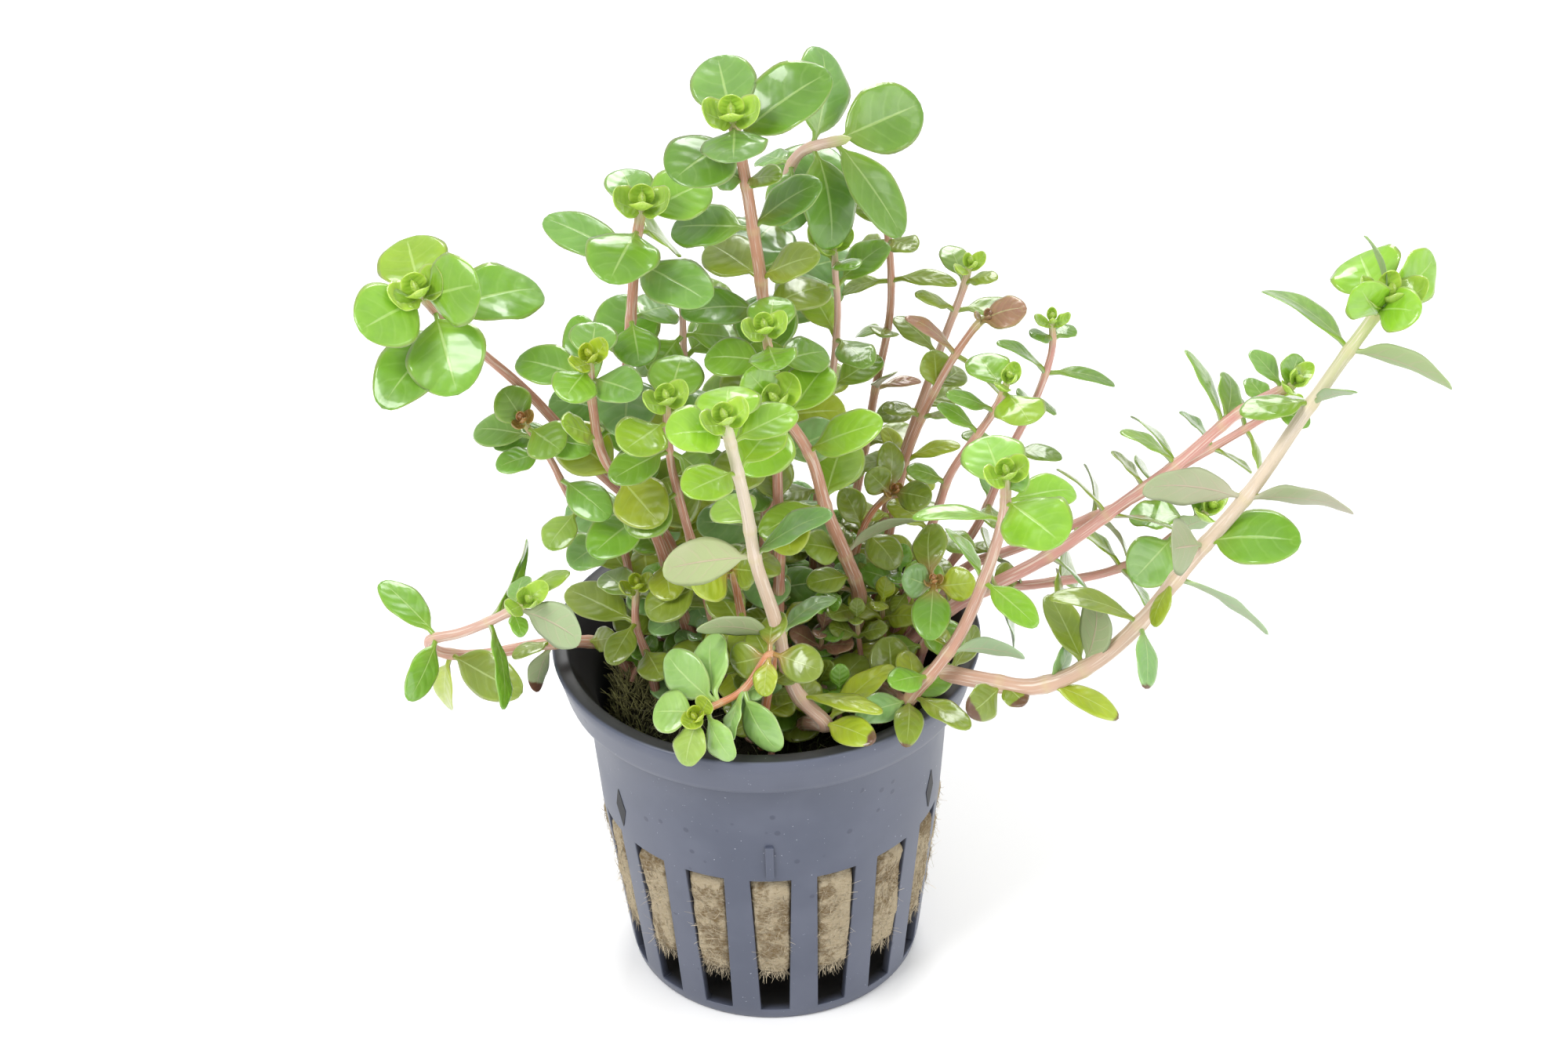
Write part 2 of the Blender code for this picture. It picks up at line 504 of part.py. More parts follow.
def leaf_nodes(name, route):
    """Each node's distance from the tip and its leaves, from the tip down."""
    shoot = SHOOTS[name]
    nodes = [(TIP_STEPS[0], [])]
    for back, reach, width, *roll in SHOWN_LEAVES.get(name, []):
        if nodes[-1][0] != back:
            nodes.append((back, []))
        out = Vector(reach)
        nodes[-1][1].append(Leaf(out.normalized(), out.length, width, roll[0] if roll else 0))
    if len(nodes) == 1:
        for index in (1, 2):
            back, size, rise = TIP_STEPS[index], TIP_SIZES[index], TIP_RISES[index]
            nodes.append((back, rule_pair(route, shoot, back, index, size, rise)))
    back = nodes[-1][0] + shoot.gap
    while back < route.length - BARE_FOOT:
        size = 1.0 + (FOOT_SIZE - 1.0) * back / route.length
        nodes.append((back, rule_pair(route, shoot, back, len(nodes), size, shoot.rise)))
        back += shoot.gap
    return nodes


def leaf_frame(place, axis, out, roll):
    """A matrix with X out along the blade and Z up from its face, which is nearest the axis at no roll."""
    face = (axis - out * axis.dot(out)).normalized()
    face = Matrix.Rotation(math.radians(roll), 3, out) @ face
    return Matrix.Translation(place) @ Matrix((out, face.cross(out), face)).transposed().to_4x4()


def leaf_corners(frame, length, width, spare=0.0):
    """The corners of a flat leaf that is thickest in the middle."""
    half = width / 2 + spare
    thick = LEAF_THICKNESS / 2 + spare
    middle = LEAF_MIDDLE * length
    far = LEAF_FAR * length
    level = LEAF_ARCH * length
    far_level = level * (1.0 - ((LEAF_FAR - LEAF_MIDDLE) / (1.0 - LEAF_MIDDLE)) ** 2)
    corners = {
        "stalk": (1.2, 0, 0),
        "left": (middle, half, level),
        "left_far": (far, half * LEAF_FAR_WIDTH, far_level),
        "tip": (length + spare, 0, 0),
        "right_far": (far, -half * LEAF_FAR_WIDTH, far_level),
        "right": (middle, -half, level),
        "top": (middle, 0, level + thick),
        "under": (middle, 0, level - thick),
    }
    return {name: frame @ Vector(corner) for name, corner in corners.items()}


def leaf_tree(frame, length, width):
    """A leaf with some spare room round it, for the test of what it touches."""
    points = list(leaf_corners(frame, length, width, CLEARANCE).values())
    top = len(points) - 2
    under = len(points) - 1
    faces = []
    for corner in range(top):
        after = (corner + 1) % top
        faces += [(top, corner, after), (under, after, corner)]
    return BVHTree.FromPolygons(points, faces)


def extrude(body, face):
    return bmesh.ops.extrude_discrete_faces(body, faces=[face])["faces"][0]


def move_cap(cap, old_place, old_heading, place, heading, turn, half):
    """Moves a stem's square end on to its next station."""
    old_across = side_of(old_heading, turn)
    old_deep = old_heading.cross(old_across)
    across = side_of(heading, turn)
    deep = heading.cross(across)
    for corner in cap.verts:
        arm = corner.co - old_place
        right = half if arm.dot(old_across) > 0 else -half
        back = half if arm.dot(old_deep) > 0 else -half
        corner.co = place + across * right + deep * back


def bends(route, start, stop):
    """Distances between two where a straight stretch would leave the route by too much."""
    middle = (start + stop) / 2
    straight = route.place(start).lerp(route.place(stop), 0.5)
    if stop - start < 2 * NODE_HEIGHT or (route.place(middle) - straight).length < BEND:
        return []
    return bends(route, start, middle) + [middle] + bends(route, middle, stop)


def grow_stem(shoot, route, nodes):
    """The square stem as extruded rings, and the four sides of the ring at each node."""
    stations = [(ROOT_STEP, None)]
    for index in reversed(range(1, len(nodes))):
        distance = route.length - nodes[index][0]
        reach = min(NODE_HEIGHT, (nodes[index][0] - nodes[index - 1][0]) * 0.7) / 2
        stations += [(bend, None) for bend in bends(route, stations[-1][0], distance - reach)]
        stations += [(distance - reach, None), (distance + reach, index)]
    stations += [(bend, None) for bend in bends(route, stations[-1][0], route.length)]
    stations.append((route.length, None))
    body = bmesh.new()
    place = route.place(0.0) + Vector((0, 0, STEM_GAP))
    heading = route.heading(0.0)
    half = shoot.thick * STEM_SQUARE / 2
    for corner in bmesh.ops.create_cube(body, size=2.0)["verts"]:
        level = place if corner.co.z < 0 else place + heading * ROOT_STEP
        across = side_of(heading, shoot.turn)
        corner.co = level + across * corner.co.x * half + heading.cross(across) * corner.co.y * half
    cap = max(body.faces, key=lambda face: face.calc_center_median().dot(heading))
    place = place + heading * ROOT_STEP
    bearing = {}
    for distance, index in stations[1:]:
        cap = extrude(body, cap)
        next_place = route.place(distance)
        next_heading = route.heading(distance)
        thin = half * (1.0 - STEM_TAPER * distance / route.length)
        move_cap(cap, place, heading, next_place, next_heading, shoot.turn, thin)
        place, heading = next_place, next_heading
        if index is not None:
            bearing[index] = [
                face for edge in cap.edges for face in edge.link_faces if face is not cap]
    bud = bmesh.ops.poke(body, faces=[cap])["verts"][0]
    bud.co = place + heading * BUD_HEIGHT
    return body, bearing


def add_leaf(body, side, place, heading, frame, length, width):
    """Draws one side of the stem out into a leaf."""
    middle = side.calc_center_median()
    left = heading.cross(middle - place)
    corners = leaf_corners(frame, length, width)
    blade = extrude(body, side)
    edges = {}
    for corner in blade.verts:
        arm = corner.co - middle
        name = LEAF_EDGE_OF[arm.dot(left) > 0, arm.dot(heading) > 0]
        corner.co = corners[name]
        edges[name] = corner
    tip = bmesh.ops.poke(body, faces=[blade])["verts"][0]
    tip.co = corners["tip"]
    for name in ("left", "right"):
        edge = body.edges.get((tip, edges[name]))
        far = bmesh.utils.edge_split(edge, tip, 0.5)[1]
        far.co = corners[name + "_far"]


def grow_leaves(shoot, route, nodes, body, bearing, blocked):
    """Adds the leaves, each turned aside or made smaller where it would touch a neighbour."""
    own = []
    for index, sides in sorted(bearing.items()):
        back, leaves = nodes[index]
        place = route.place(route.length - back)
        heading = route.heading(route.length - back)
        axis = light_axis(route, shoot, back)
        for leaf in leaves:
            side = max(sides, key=lambda face: (face.calc_center_median() - place).dot(leaf.out))
            for twist, lift, scale in LEAF_TRIES:
                out = Matrix.Rotation(math.radians(twist), 3, axis) @ leaf.out
                out = Matrix.Rotation(math.radians(lift), 3, out.cross(axis)) @ out
                frame = leaf_frame(place, axis, out, leaf.roll)
                tree = leaf_tree(frame, leaf.length * scale, leaf.width * scale)
                if any(tree.overlap(other) for other in blocked + own):
                    continue
                sides.remove(side)
                before = set(body.faces)
                add_leaf(body, side, place, heading, frame, leaf.length * scale, leaf.width * scale)
                for face in set(body.faces) - before:
                    face.material_index = 1
                own.append(tree)
                break
    return BVHTree.FromBMesh(body)


def object_tree(item):
    """The evaluated object in mm, for the test of what touches it."""
    bpy.context.view_layer.update()
    body = bmesh.new()
    body.from_object(item, bpy.context.evaluated_depsgraph_get())
    bmesh.ops.scale(body, vec=(1 / MM, 1 / MM, 1 / MM), verts=body.verts)
    tree = BVHTree.FromBMesh(body)
    body.free()
    return tree


def make_shoots(parts, pot, plug):
    stem_look = material("stem", (0.55, 0.24, 0.17), 0.45)
    looks = {tint: material("leaf " + tint, colour, 0.35) for tint, colour in TINTS.items()}
    routes = {name: Route(shoot.route) for name, shoot in SHOOTS.items()}
    nodes = {name: leaf_nodes(name, routes[name]) for name in SHOOTS}
    grown = {name: grow_stem(shoot, routes[name], nodes[name]) for name, shoot in SHOOTS.items()}
    trees = {name: BVHTree.FromBMesh(body) for name, (body, bearing) in grown.items()}
    held = [object_tree(pot), object_tree(plug)]
    for name, shoot in SHOOTS.items():
        body, bearing = grown[name]
        blocked = held + [tree for other, tree in trees.items() if other != name]
        trees[name] = grow_leaves(shoot, routes[name], nodes[name], body, bearing, blocked)
        bmesh.ops.scale(body, vec=(MM, MM, MM), verts=body.verts)
        mesh = bpy.data.meshes.new(name)
        body.to_mesh(mesh)
        body.free()
        add_object(name, mesh, parts, stem_look, looks[shoot.tint])


def main():
    clear_scene()
    parts = new_collection("Rotala in net pot")
    helpers = new_collection("Shapes cut or joined")
    pot = make_pot(parts, helpers)
    plug = make_plug(parts)
    make_shoots(parts, pot, plug)


main()
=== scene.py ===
# %% [markdown]
# # A rotala in its slotted net pot
#
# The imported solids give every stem, leaf, the pot and the wool plug their place and size. This
# lesson dresses them: round ridged stems, curved leaves with veins, a turned and slotted pot,
# a fibrous plug with moss on it, then the finishes, the light and the camera.
# Most shapes are surfaces worked out as whole numpy arrays: a ring of points is carried along
# a line, and the same few lines of code then make a leaf, a stem, a fibre or a blade of moss.

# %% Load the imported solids
import math
from collections import namedtuple

import bmesh
import bpy
import numpy as np
from mathutils import Matrix, Vector
from mathutils.kdtree import KDTree


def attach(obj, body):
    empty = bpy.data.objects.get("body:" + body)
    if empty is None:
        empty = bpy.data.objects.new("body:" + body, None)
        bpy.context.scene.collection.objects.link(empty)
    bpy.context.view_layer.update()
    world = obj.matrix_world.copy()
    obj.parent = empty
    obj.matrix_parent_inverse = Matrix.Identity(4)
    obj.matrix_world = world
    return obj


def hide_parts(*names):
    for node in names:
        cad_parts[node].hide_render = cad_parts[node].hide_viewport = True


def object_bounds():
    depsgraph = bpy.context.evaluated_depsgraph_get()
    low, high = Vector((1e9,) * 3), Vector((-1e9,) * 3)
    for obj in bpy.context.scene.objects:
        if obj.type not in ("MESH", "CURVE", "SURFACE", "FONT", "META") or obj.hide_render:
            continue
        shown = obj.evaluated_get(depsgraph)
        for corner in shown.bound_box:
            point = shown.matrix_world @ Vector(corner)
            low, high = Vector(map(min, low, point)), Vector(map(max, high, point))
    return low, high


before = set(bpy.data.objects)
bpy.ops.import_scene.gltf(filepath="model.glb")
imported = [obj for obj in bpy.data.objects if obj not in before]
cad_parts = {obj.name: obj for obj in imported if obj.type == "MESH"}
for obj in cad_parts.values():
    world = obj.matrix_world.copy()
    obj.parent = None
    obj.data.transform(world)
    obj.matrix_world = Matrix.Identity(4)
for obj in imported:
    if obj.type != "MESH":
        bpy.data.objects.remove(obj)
cad_low, cad_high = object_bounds()
MM = 0.001
cad_sides = [round(side / MM, 1) for side in cad_high - cad_low]
print("solids:", len(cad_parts), "box in mm:", cad_sides)


def add_object(name, data):
    """A new object in the scene, at the origin, unturned and unscaled."""
    added = bpy.data.objects.new(name, data)
    bpy.context.scene.collection.objects.link(added)
    return added



# %% [markdown]
# ## Camera
#
# The photograph was taken from the front and from above with a long lens. The place and the
# angles come from fitting a camera to the pot's rim, collar, foot and slots, so the render has
# the same view. The three direction vectors are the columns of the camera's rotation.

# %% Camera at the photograph's view
CAMERA_PLACE = Vector((-0.4, -424.7, 347.9)) * MM
CAMERA_PITCH = math.radians(33.62)
CAMERA_ROLL = math.radians(-1.72)
CAMERA_YAW = math.radians(0.42)
FOCAL_PIXELS = 5166.0
PHOTO_WIDTH = 2000.0
SENSOR_WIDTH = 36.0


def camera_axes():
    """Right, up and forward of a camera turned by yaw, tipped down by pitch, then rolled."""
    level = math.cos(CAMERA_PITCH)
    forward = Vector((
        math.sin(CAMERA_YAW) * level, math.cos(CAMERA_YAW) * level, -math.sin(CAMERA_PITCH)))
    right = Vector((math.cos(CAMERA_YAW), -math.sin(CAMERA_YAW), 0.0))
    up = right.cross(forward)
    rolled_right = right * math.cos(CAMERA_ROLL) + up * math.sin(CAMERA_ROLL)
    rolled_up = up * math.cos(CAMERA_ROLL) - right * math.sin(CAMERA_ROLL)
    return rolled_right, rolled_up, forward


def add_camera():
    right, up, forward = camera_axes()
    data = bpy.data.cameras.new("photo view")
    data.sensor_width = SENSOR_WIDTH
    data.lens = FOCAL_PIXELS / PHOTO_WIDTH * SENSOR_WIDTH
    data.clip_start = 0.01
    data.clip_end = 50.0
    camera = add_object("photo view", data)
    turn = Matrix((right, up, -forward)).transposed().to_4x4()
    camera.matrix_world = Matrix.Translation(CAMERA_PLACE) @ turn
    bpy.context.scene.camera = camera
    return camera


print("lens in mm:", round(add_camera().data.lens, 1))

# %% [markdown]
# ## Patches of surface
#
# A patch is a bundle of arrays: points, faces as corner numbers, one UV pair for each face
# corner, a tone for each point and a finish number for each face. Patches are joined by
# adding the point count so far to the next patch's corner numbers.
# `tubes` makes many closed tubes at once. Every tube is a stack of rings with one pole at
# each end, so there are no holes and no seams. A ring runs clockwise as seen from the tube's
# far end, and each face then points outwards.

# %% Patches and tubes


def tubes(rings, first, last, uv, tone, look=0, ring_look=None):
    """Closed tubes, from rings (tube, ring, corner, xyz) and the poles first and last (tube, xyz).

    Each face joins corner j and j + 1 of ring i to ring i + 1. The caps are fans to the poles.
    uv is (tube, ring, corner + 1, 2) and tone (tube, ring, corner, 4), both taken at the rings.
    ring_look, if given, holds a finish number for each corner's strip of faces.
    """
    count, depth, around = rings.shape[:3]
    points = np.concatenate(
        [first[:, None], rings.reshape(count, depth * around, 3), last[:, None]], axis=1)
    size = depth * around + 2
    i, j = np.meshgrid(np.arange(depth - 1), np.arange(around), indexing="ij")
    after = (j + 1) % around
    quads = np.stack(
        [i * around + j, (i + 1) * around + j, (i + 1) * around + after, i * around + after], -1) + 1
    k = np.arange(around)
    k_after = (k + 1) % around
    start_fan = np.stack([np.zeros_like(k), k + 1, k_after + 1], -1)
    last_ring = (depth - 1) * around + 1
    end_fan = np.stack([np.full_like(k, size - 1), last_ring + k_after, last_ring + k], -1)
    step = (np.arange(count) * size)[:, None, None]
    quads = (quads.reshape(1, -1, 4) + step).reshape(-1, 4)
    fans = (np.concatenate([start_fan, end_fan])[None] + step).reshape(-1, 3)
    quad_uv = np.stack(
        [uv[:, i, j], uv[:, i + 1, j], uv[:, i + 1, j + 1], uv[:, i, j + 1]], 3).reshape(-1, 2)
    start_uv = np.stack([(uv[:, 0, k] + uv[:, 0, k + 1]) / 2, uv[:, 0, k], uv[:, 0, k + 1]], 2)
    end_uv = np.stack([(uv[:, -1, k] + uv[:, -1, k + 1]) / 2, uv[:, -1, k + 1], uv[:, -1, k]], 2)
    fan_uv = np.concatenate([start_uv, end_uv], 1).reshape(-1, 2)
    tones = np.concatenate(
        [tone[:, 0, :1], tone.reshape(count, depth * around, 4), tone[:, -1, :1]], axis=1)
    strip = np.full(around, look) if ring_look is None else np.asarray(ring_look)
    quad_look = np.tile(np.broadcast_to(strip, (depth - 1, around)).reshape(-1), count)
    fan_look = np.tile(np.concatenate([strip, strip]), count)
    return {
        "points": points.reshape(-1, 3), "quads": quads, "fans": fans,
        "uv": np.concatenate([quad_uv, fan_uv]), "tone": tones.reshape(-1, 4),
        "look": np.concatenate([quad_look, fan_look])}


def join(patches):
    """One patch made of several: faces are renumbered, and quads stay before triangles."""
    shift = np.cumsum([0] + [len(patch["points"]) for patch in patches[:-1]])
    cut = [len(patch["quads"]) for patch in patches]

    def gather(name, rows):
        """What every patch holds for its quads, with so many rows each, then for its triangles."""
        return np.concatenate(
            [patch[name][:rows * quads] for patch, quads in zip(patches, cut)]
            + [patch[name][rows * quads:] for patch, quads in zip(patches, cut)])

    return {
        "points": np.concatenate([patch["points"] for patch in patches]),
        "quads": np.concatenate([patch["quads"] + by for patch, by in zip(patches, shift)]),
        "fans": np.concatenate([patch["fans"] + by for patch, by in zip(patches, shift)]),
        "tone": np.concatenate([patch["tone"] for patch in patches]),
        "uv": gather("uv", 4), "look": gather("look", 1)}


def add_piece(name, patch, looks):
    """A mesh object in the shared frame from a patch in mm, with its UV map and its tones."""
    mesh = bpy.data.meshes.new(name)
    points = patch["points"] * MM
    corners = np.concatenate([patch["quads"].reshape(-1), patch["fans"].reshape(-1)])
    starts = np.concatenate([
        np.arange(len(patch["quads"])) * 4,
        4 * len(patch["quads"]) + np.arange(len(patch["fans"])) * 3])
    mesh.vertices.add(len(points))
    mesh.vertices.foreach_set("co", points.astype(np.float32).reshape(-1))
    mesh.loops.add(len(corners))
    mesh.loops.foreach_set("vertex_index", corners.astype(np.int32))
    mesh.polygons.add(len(starts))
    mesh.polygons.foreach_set("loop_start", starts.astype(np.int32))
    mesh.polygons.foreach_set("material_index", patch["look"].astype(np.int32))
    mesh.polygons.foreach_set("use_smooth", np.ones(len(starts), bool))
    mesh.update(calc_edges=True)
    mesh.uv_layers.new(name="surface").data.foreach_set(
        "uv", patch["uv"].astype(np.float32).reshape(-1))
    tone = mesh.attributes.new("tone", "FLOAT_COLOR", "POINT")
    tone.data.foreach_set("color", patch["tone"].astype(np.float32).reshape(-1))
    for look in looks:
        mesh.materials.append(look)
    return add_object(name, mesh)


def settle(piece, slot, *nodes):
    """The piece rides on the one body and stands for CAD nodes, whose solids it hides. Its slot is not used.
    """
    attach(piece, "root")
    if nodes:
        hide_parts(*nodes)
    triangles = sum(len(face.vertices) - 2 for face in piece.data.polygons)
    print(piece.name, "has", triangles, "triangles")
    return piece


# %% [markdown]
# ## Noise in numpy
#
# Natural surfaces need irregularity that is the same on every run. Value noise gives each
# corner of a cubic lattice a fixed pseudo-random number, and blends the eight corners round
# a point. Adding the same noise at twice the frequency and half the height gives rough detail.

# %% Value noise


def lattice_value(x, y, z, seed):
    """A fixed number from 0 to 1 for each lattice corner: the fraction of a large sine."""
    wave = np.sin(x * 127.1 + y * 311.7 + z * 74.7 + seed * 53.3) * 43758.5453
    return wave - np.floor(wave)


def value_noise(points, scale, seed=0):
    """Smooth noise from -1 to 1: lattice numbers blended by the eased part of each coordinate."""
    place = np.asarray(points) / scale
    base = np.floor(place)
    part = place - base
    ease = part * part * (3 - 2 * part)
    total = np.zeros(place.shape[:-1])
    for dx in (0, 1):
        for dy in (0, 1):
            for dz in (0, 1):
                weight = (
                    (ease[..., 0] if dx else 1 - ease[..., 0])
                    * (ease[..., 1] if dy else 1 - ease[..., 1])
                    * (ease[..., 2] if dz else 1 - ease[..., 2]))
                total += weight * lattice_value(
                    base[..., 0] + dx, base[..., 1] + dy, base[..., 2] + dz, seed)
    return total * 2 - 1


def rough_noise(points, scale, octaves=3, seed=0):
    """Value noise plus the same at half the size and half the height, and so on."""
    return sum(
        value_noise(points, scale / 2 ** octave, seed + octave) / 2 ** octave
        for octave in range(octaves))

# %% [markdown]
# ## Net pot
#
# The real pot is one thin moulding with sixteen slots that widen upwards. It could be turned
# and cut with Booleans, but here the surface itself leaves the slots out: its columns of points
# follow the slots' edges, the faces between two of those columns are left away, and short
# faces join the outer wall to the inner one. The Bevel modifier then rounds the moulded edges.

# %% Pot sizes, in millimetres
RIM_HEIGHT, RIM_RADIUS, RIM_FACE = 48.4, 27.5, 2.1
COLLAR_HEIGHT, COLLAR_RADIUS, BODY_TOP_RADIUS = 42.5, 25.9, 23.5
SLOT_TOP_HEIGHT, SLOT_TOP_RADIUS = 25.6, 22.2
SLOT_FOOT_HEIGHT, SLOT_FOOT_RADIUS, FOOT_RADIUS = 1.8, 19.3, 18.2
WALL, FLOOR = 1.2, 1.5
SLOTS, FRONT_SLOT_ANGLE = 16, -math.pi / 2 - 0.024
RIB_WIDTH, RIB_HEIGHT, RIB_PROUD = 1.1, 5.4, 0.45
MARK_LOW, MARK_HIGH, MARK_WIDTH, MARK_PROUD = 26.6, 33.8, 2.6, 0.09
MARK_TURNS = (math.radians(-90 - 59.0), math.radians(-90 + 64.3))
SLOT_FOOT_HALF_ANGLE, SLOT_TOP_HALF_ANGLE = 0.096, 0.119
SLOT_INNERMOST, SLOT_WIDEST_ANGLE = 12.0, 0.17
BEVEL_WIDTH, BEVEL_FROM = 0.16, math.radians(50)
# The inside's near-black tone and the rim top's dark tone are painted shade on the one blue-grey plastic
POT_BLUE, POT_INSIDE_PAINTED_SHADE = (0.080, 0.092, 0.134, 1.0), (0.008, 0.008, 0.009, 0.0)
RIM_TOP_PAINTED_SHADE, MARK_DARK = (0.022, 0.023, 0.025, 0.3), (0.012, 0.013, 0.017, 0.0)
SLOT_ROWS = np.array([1.8, 2.6, 6.0, 10.0, 14.0, 18.0, 22.0, 25.6])
SLOT_COLUMNS = np.array([-1.0, -0.5, 0.0, 0.5])
RIB_COLUMNS = np.array([0.0, 0.25, 0.5, 0.75])


def outer_radius(height):
    """The outer wall's radius: straight lines between the foot, the slots' top and the collar."""
    return np.interp(
        height, [0.6, 2.2, SLOT_TOP_HEIGHT, COLLAR_HEIGHT - 0.4],
        [SLOT_FOOT_RADIUS - 0.4, SLOT_FOOT_RADIUS, SLOT_TOP_RADIUS, BODY_TOP_RADIUS])


def inner_radius(height):
    """The inner wall's radius, a wall's thickness inside the outer one."""
    return np.interp(
        height, [FLOOR, FLOOR + 1.0, SLOT_TOP_HEIGHT, COLLAR_HEIGHT],
        [SLOT_FOOT_RADIUS - WALL - 0.6, SLOT_FOOT_RADIUS - WALL, SLOT_TOP_RADIUS - WALL,
         BODY_TOP_RADIUS - WALL])


def pot_outline():
    """(radius, height) from the middle of the floor up the inside and down the outside.

    It also gives the rows of the inner and the outer wall that the slots share.
    """
    inner = [(inner_radius(height), height) for height in SLOT_ROWS]
    outer = [(outer_radius(height), height) for height in SLOT_ROWS[::-1]]
    rim_inside = RIM_RADIUS - RIM_FACE
    before = [(0.4, FLOOR), (8.0, FLOOR), (15.0, FLOOR), (17.3, FLOOR)]
    between = [
        (21.6, 34.0), (22.15, 41.2), (22.35, 42.5), (22.9, 43.6), (24.2, 46.0), (rim_inside, 48.0),
        (rim_inside + 0.1, 48.25), (rim_inside + 0.35, RIM_HEIGHT), (RIM_RADIUS - 0.4, RIM_HEIGHT),
        (RIM_RADIUS - 0.12, 48.28), (RIM_RADIUS, 48.0), (26.95, 46.2), (26.2, 43.4),
        (25.92, 42.65), (25.7, 42.45), (24.1, 42.2), (23.62, 42.05), (23.42, 41.6), (22.8, 33.0)]
    after = [(18.9, 0.6), (18.65, 0.15), (FOOT_RADIUS, 0.0), (12.0, 0.0), (0.4, 0.0)]
    outline = before + inner + between + outer + after
    inner_rows = np.arange(len(before), len(before) + len(inner))
    outer_start = len(before) + len(inner) + len(between)
    outer_rows = np.arange(outer_start + len(outer) - 1, outer_start - 1, -1)
    return np.array(outline), inner_rows, outer_rows


def slot_edge_angle(radius, height):
    """Half a slot's angle: its sides are parallel, so the angle grows towards the axis."""
    share = np.clip((height - SLOT_FOOT_HEIGHT) / (SLOT_TOP_HEIGHT - SLOT_FOOT_HEIGHT), 0, 1)
    half = SLOT_FOOT_HALF_ANGLE + (SLOT_TOP_HALF_ANGLE - SLOT_FOOT_HALF_ANGLE) * share
    wall = SLOT_FOOT_RADIUS + (SLOT_TOP_RADIUS - SLOT_FOOT_RADIUS) * share
    sine = wall * np.sin(half) / np.maximum(radius, SLOT_INNERMOST)
    return np.arcsin(np.clip(sine, 0, SLOT_WIDEST_ANGLE))


def pot_points(outline):
    """Each outline point turned about Z, with columns gathered at the slots' edges."""
    radius, height = outline[:, 0], outline[:, 1]
    edge = slot_edge_angle(radius, height)[:, None]
    period = 2 * math.pi / SLOTS
    columns = np.concatenate(
        [edge * SLOT_COLUMNS, edge + (period - 2 * edge) * RIB_COLUMNS], axis=1)
    angle = (FRONT_SLOT_ANGLE + period * np.arange(SLOTS)[None, :, None] + columns[:, None, :])
    angle = angle.reshape(len(outline), -1)
    return np.stack([
        radius[:, None] * np.cos(angle), radius[:, None] * np.sin(angle),
        np.broadcast_to(height[:, None], angle.shape)], -1)


def pot_faces(rows, columns, inner_rows, outer_rows):
    """Quads of the turned surface without the slots, then the slots' own edge faces."""
    per_slot = columns // SLOTS
    slot_wide = len(SLOT_COLUMNS)
    i, j = np.meshgrid(np.arange(rows - 1), np.arange(columns), indexing="ij")
    in_slot = (j % per_slot) < slot_wide
    cut_rows = np.concatenate([inner_rows[:-1], np.sort(outer_rows)[:-1]])
    keep = ~(in_slot & np.isin(i, cut_rows))
    i, j = i[keep], j[keep]
    after = (j + 1) % columns
    faces = [np.stack([i * columns + j, i * columns + after, (i + 1) * columns + after,
                       (i + 1) * columns + j], -1)]
    start = np.arange(SLOTS) * per_slot
    low, high = inner_rows[:-1, None], inner_rows[1:, None]
    low_out, high_out = outer_rows[:-1, None], outer_rows[1:, None]
    for side in (start, start + slot_wide):
        faces.append(np.stack([
            low * columns + side, high * columns + side, high_out * columns + side,
            low_out * columns + side], -1).reshape(-1, 4))
    across = (start[:, None] + np.arange(slot_wide)).reshape(-1)
    for end in (0, -1):
        inside, outside = inner_rows[end] * columns, outer_rows[end] * columns
        faces.append(np.stack([
            inside + across, inside + across + 1, outside + across + 1, outside + across], -1))
    return np.concatenate(faces)


def pot_tones(outline):
    """A colour for each outline point: blue-grey outside, and painted shade, near black inside and dark on the
    rim's top.

    The alpha is 1 on the outside, where dust and drops show.
    """
    tones = np.tile(POT_BLUE, (len(outline), 1))
    rim = int(np.argmax(outline[:, 1]))
    # Painted shade: near black inside the pot, dark on the rim's top
    tones[:rim - 2] = POT_INSIDE_PAINTED_SHADE
    tones[rim - 2:rim + 2] = RIM_TOP_PAINTED_SHADE
    return tones


def add_mark_rib(body):
    """The slim raised rib above the front slot, as a closed box that sinks into the wall."""
    foot = SLOT_TOP_HEIGHT + 0.7
    turn = Matrix.Rotation(FRONT_SLOT_ANGLE, 3, "Z")
    for corner in bmesh.ops.create_cube(body, size=2.0)["verts"]:
        along, across, up = corner.co
        level = foot + RIB_HEIGHT * (up > 0)
        radius = float(outer_radius(level)) + (RIB_PROUD if along > 0 else -WALL / 2)
        corner.co = turn @ Vector((radius, across * RIB_WIDTH / 2, level)) * MM


def add_side_mark(body, turn):
    """A dark mark like a slim diamond on the wall, closed by a point inside the wall."""
    middle = (MARK_LOW + MARK_HIGH) / 2
    half = MARK_WIDTH / 2 / BODY_TOP_RADIUS

    def on_wall(angle, height, proud):
        radius = float(outer_radius(height)) + proud
        return body.verts.new(
            Vector((radius * math.cos(angle), radius * math.sin(angle), height)) * MM)

    ring = [on_wall(angle, height, MARK_PROUD) for angle, height in (
        (turn, MARK_HIGH), (turn + half, middle), (turn, MARK_LOW), (turn - half, middle))]
    front = on_wall(turn, middle, MARK_PROUD)
    back = on_wall(turn, middle, -WALL / 2)
    for one, other in zip(ring, ring[1:] + ring[:1]):
        body.faces.new((front, one, other))
        body.faces.new((back, other, one))


def tone_last(body, count, tone):
    """Give one tone to the corners that were added after the first count."""
    layer = body.verts.layers.float_color["tone"]
    body.verts.ensure_lookup_table()
    for corner in body.verts[count:]:
        corner[layer] = tone


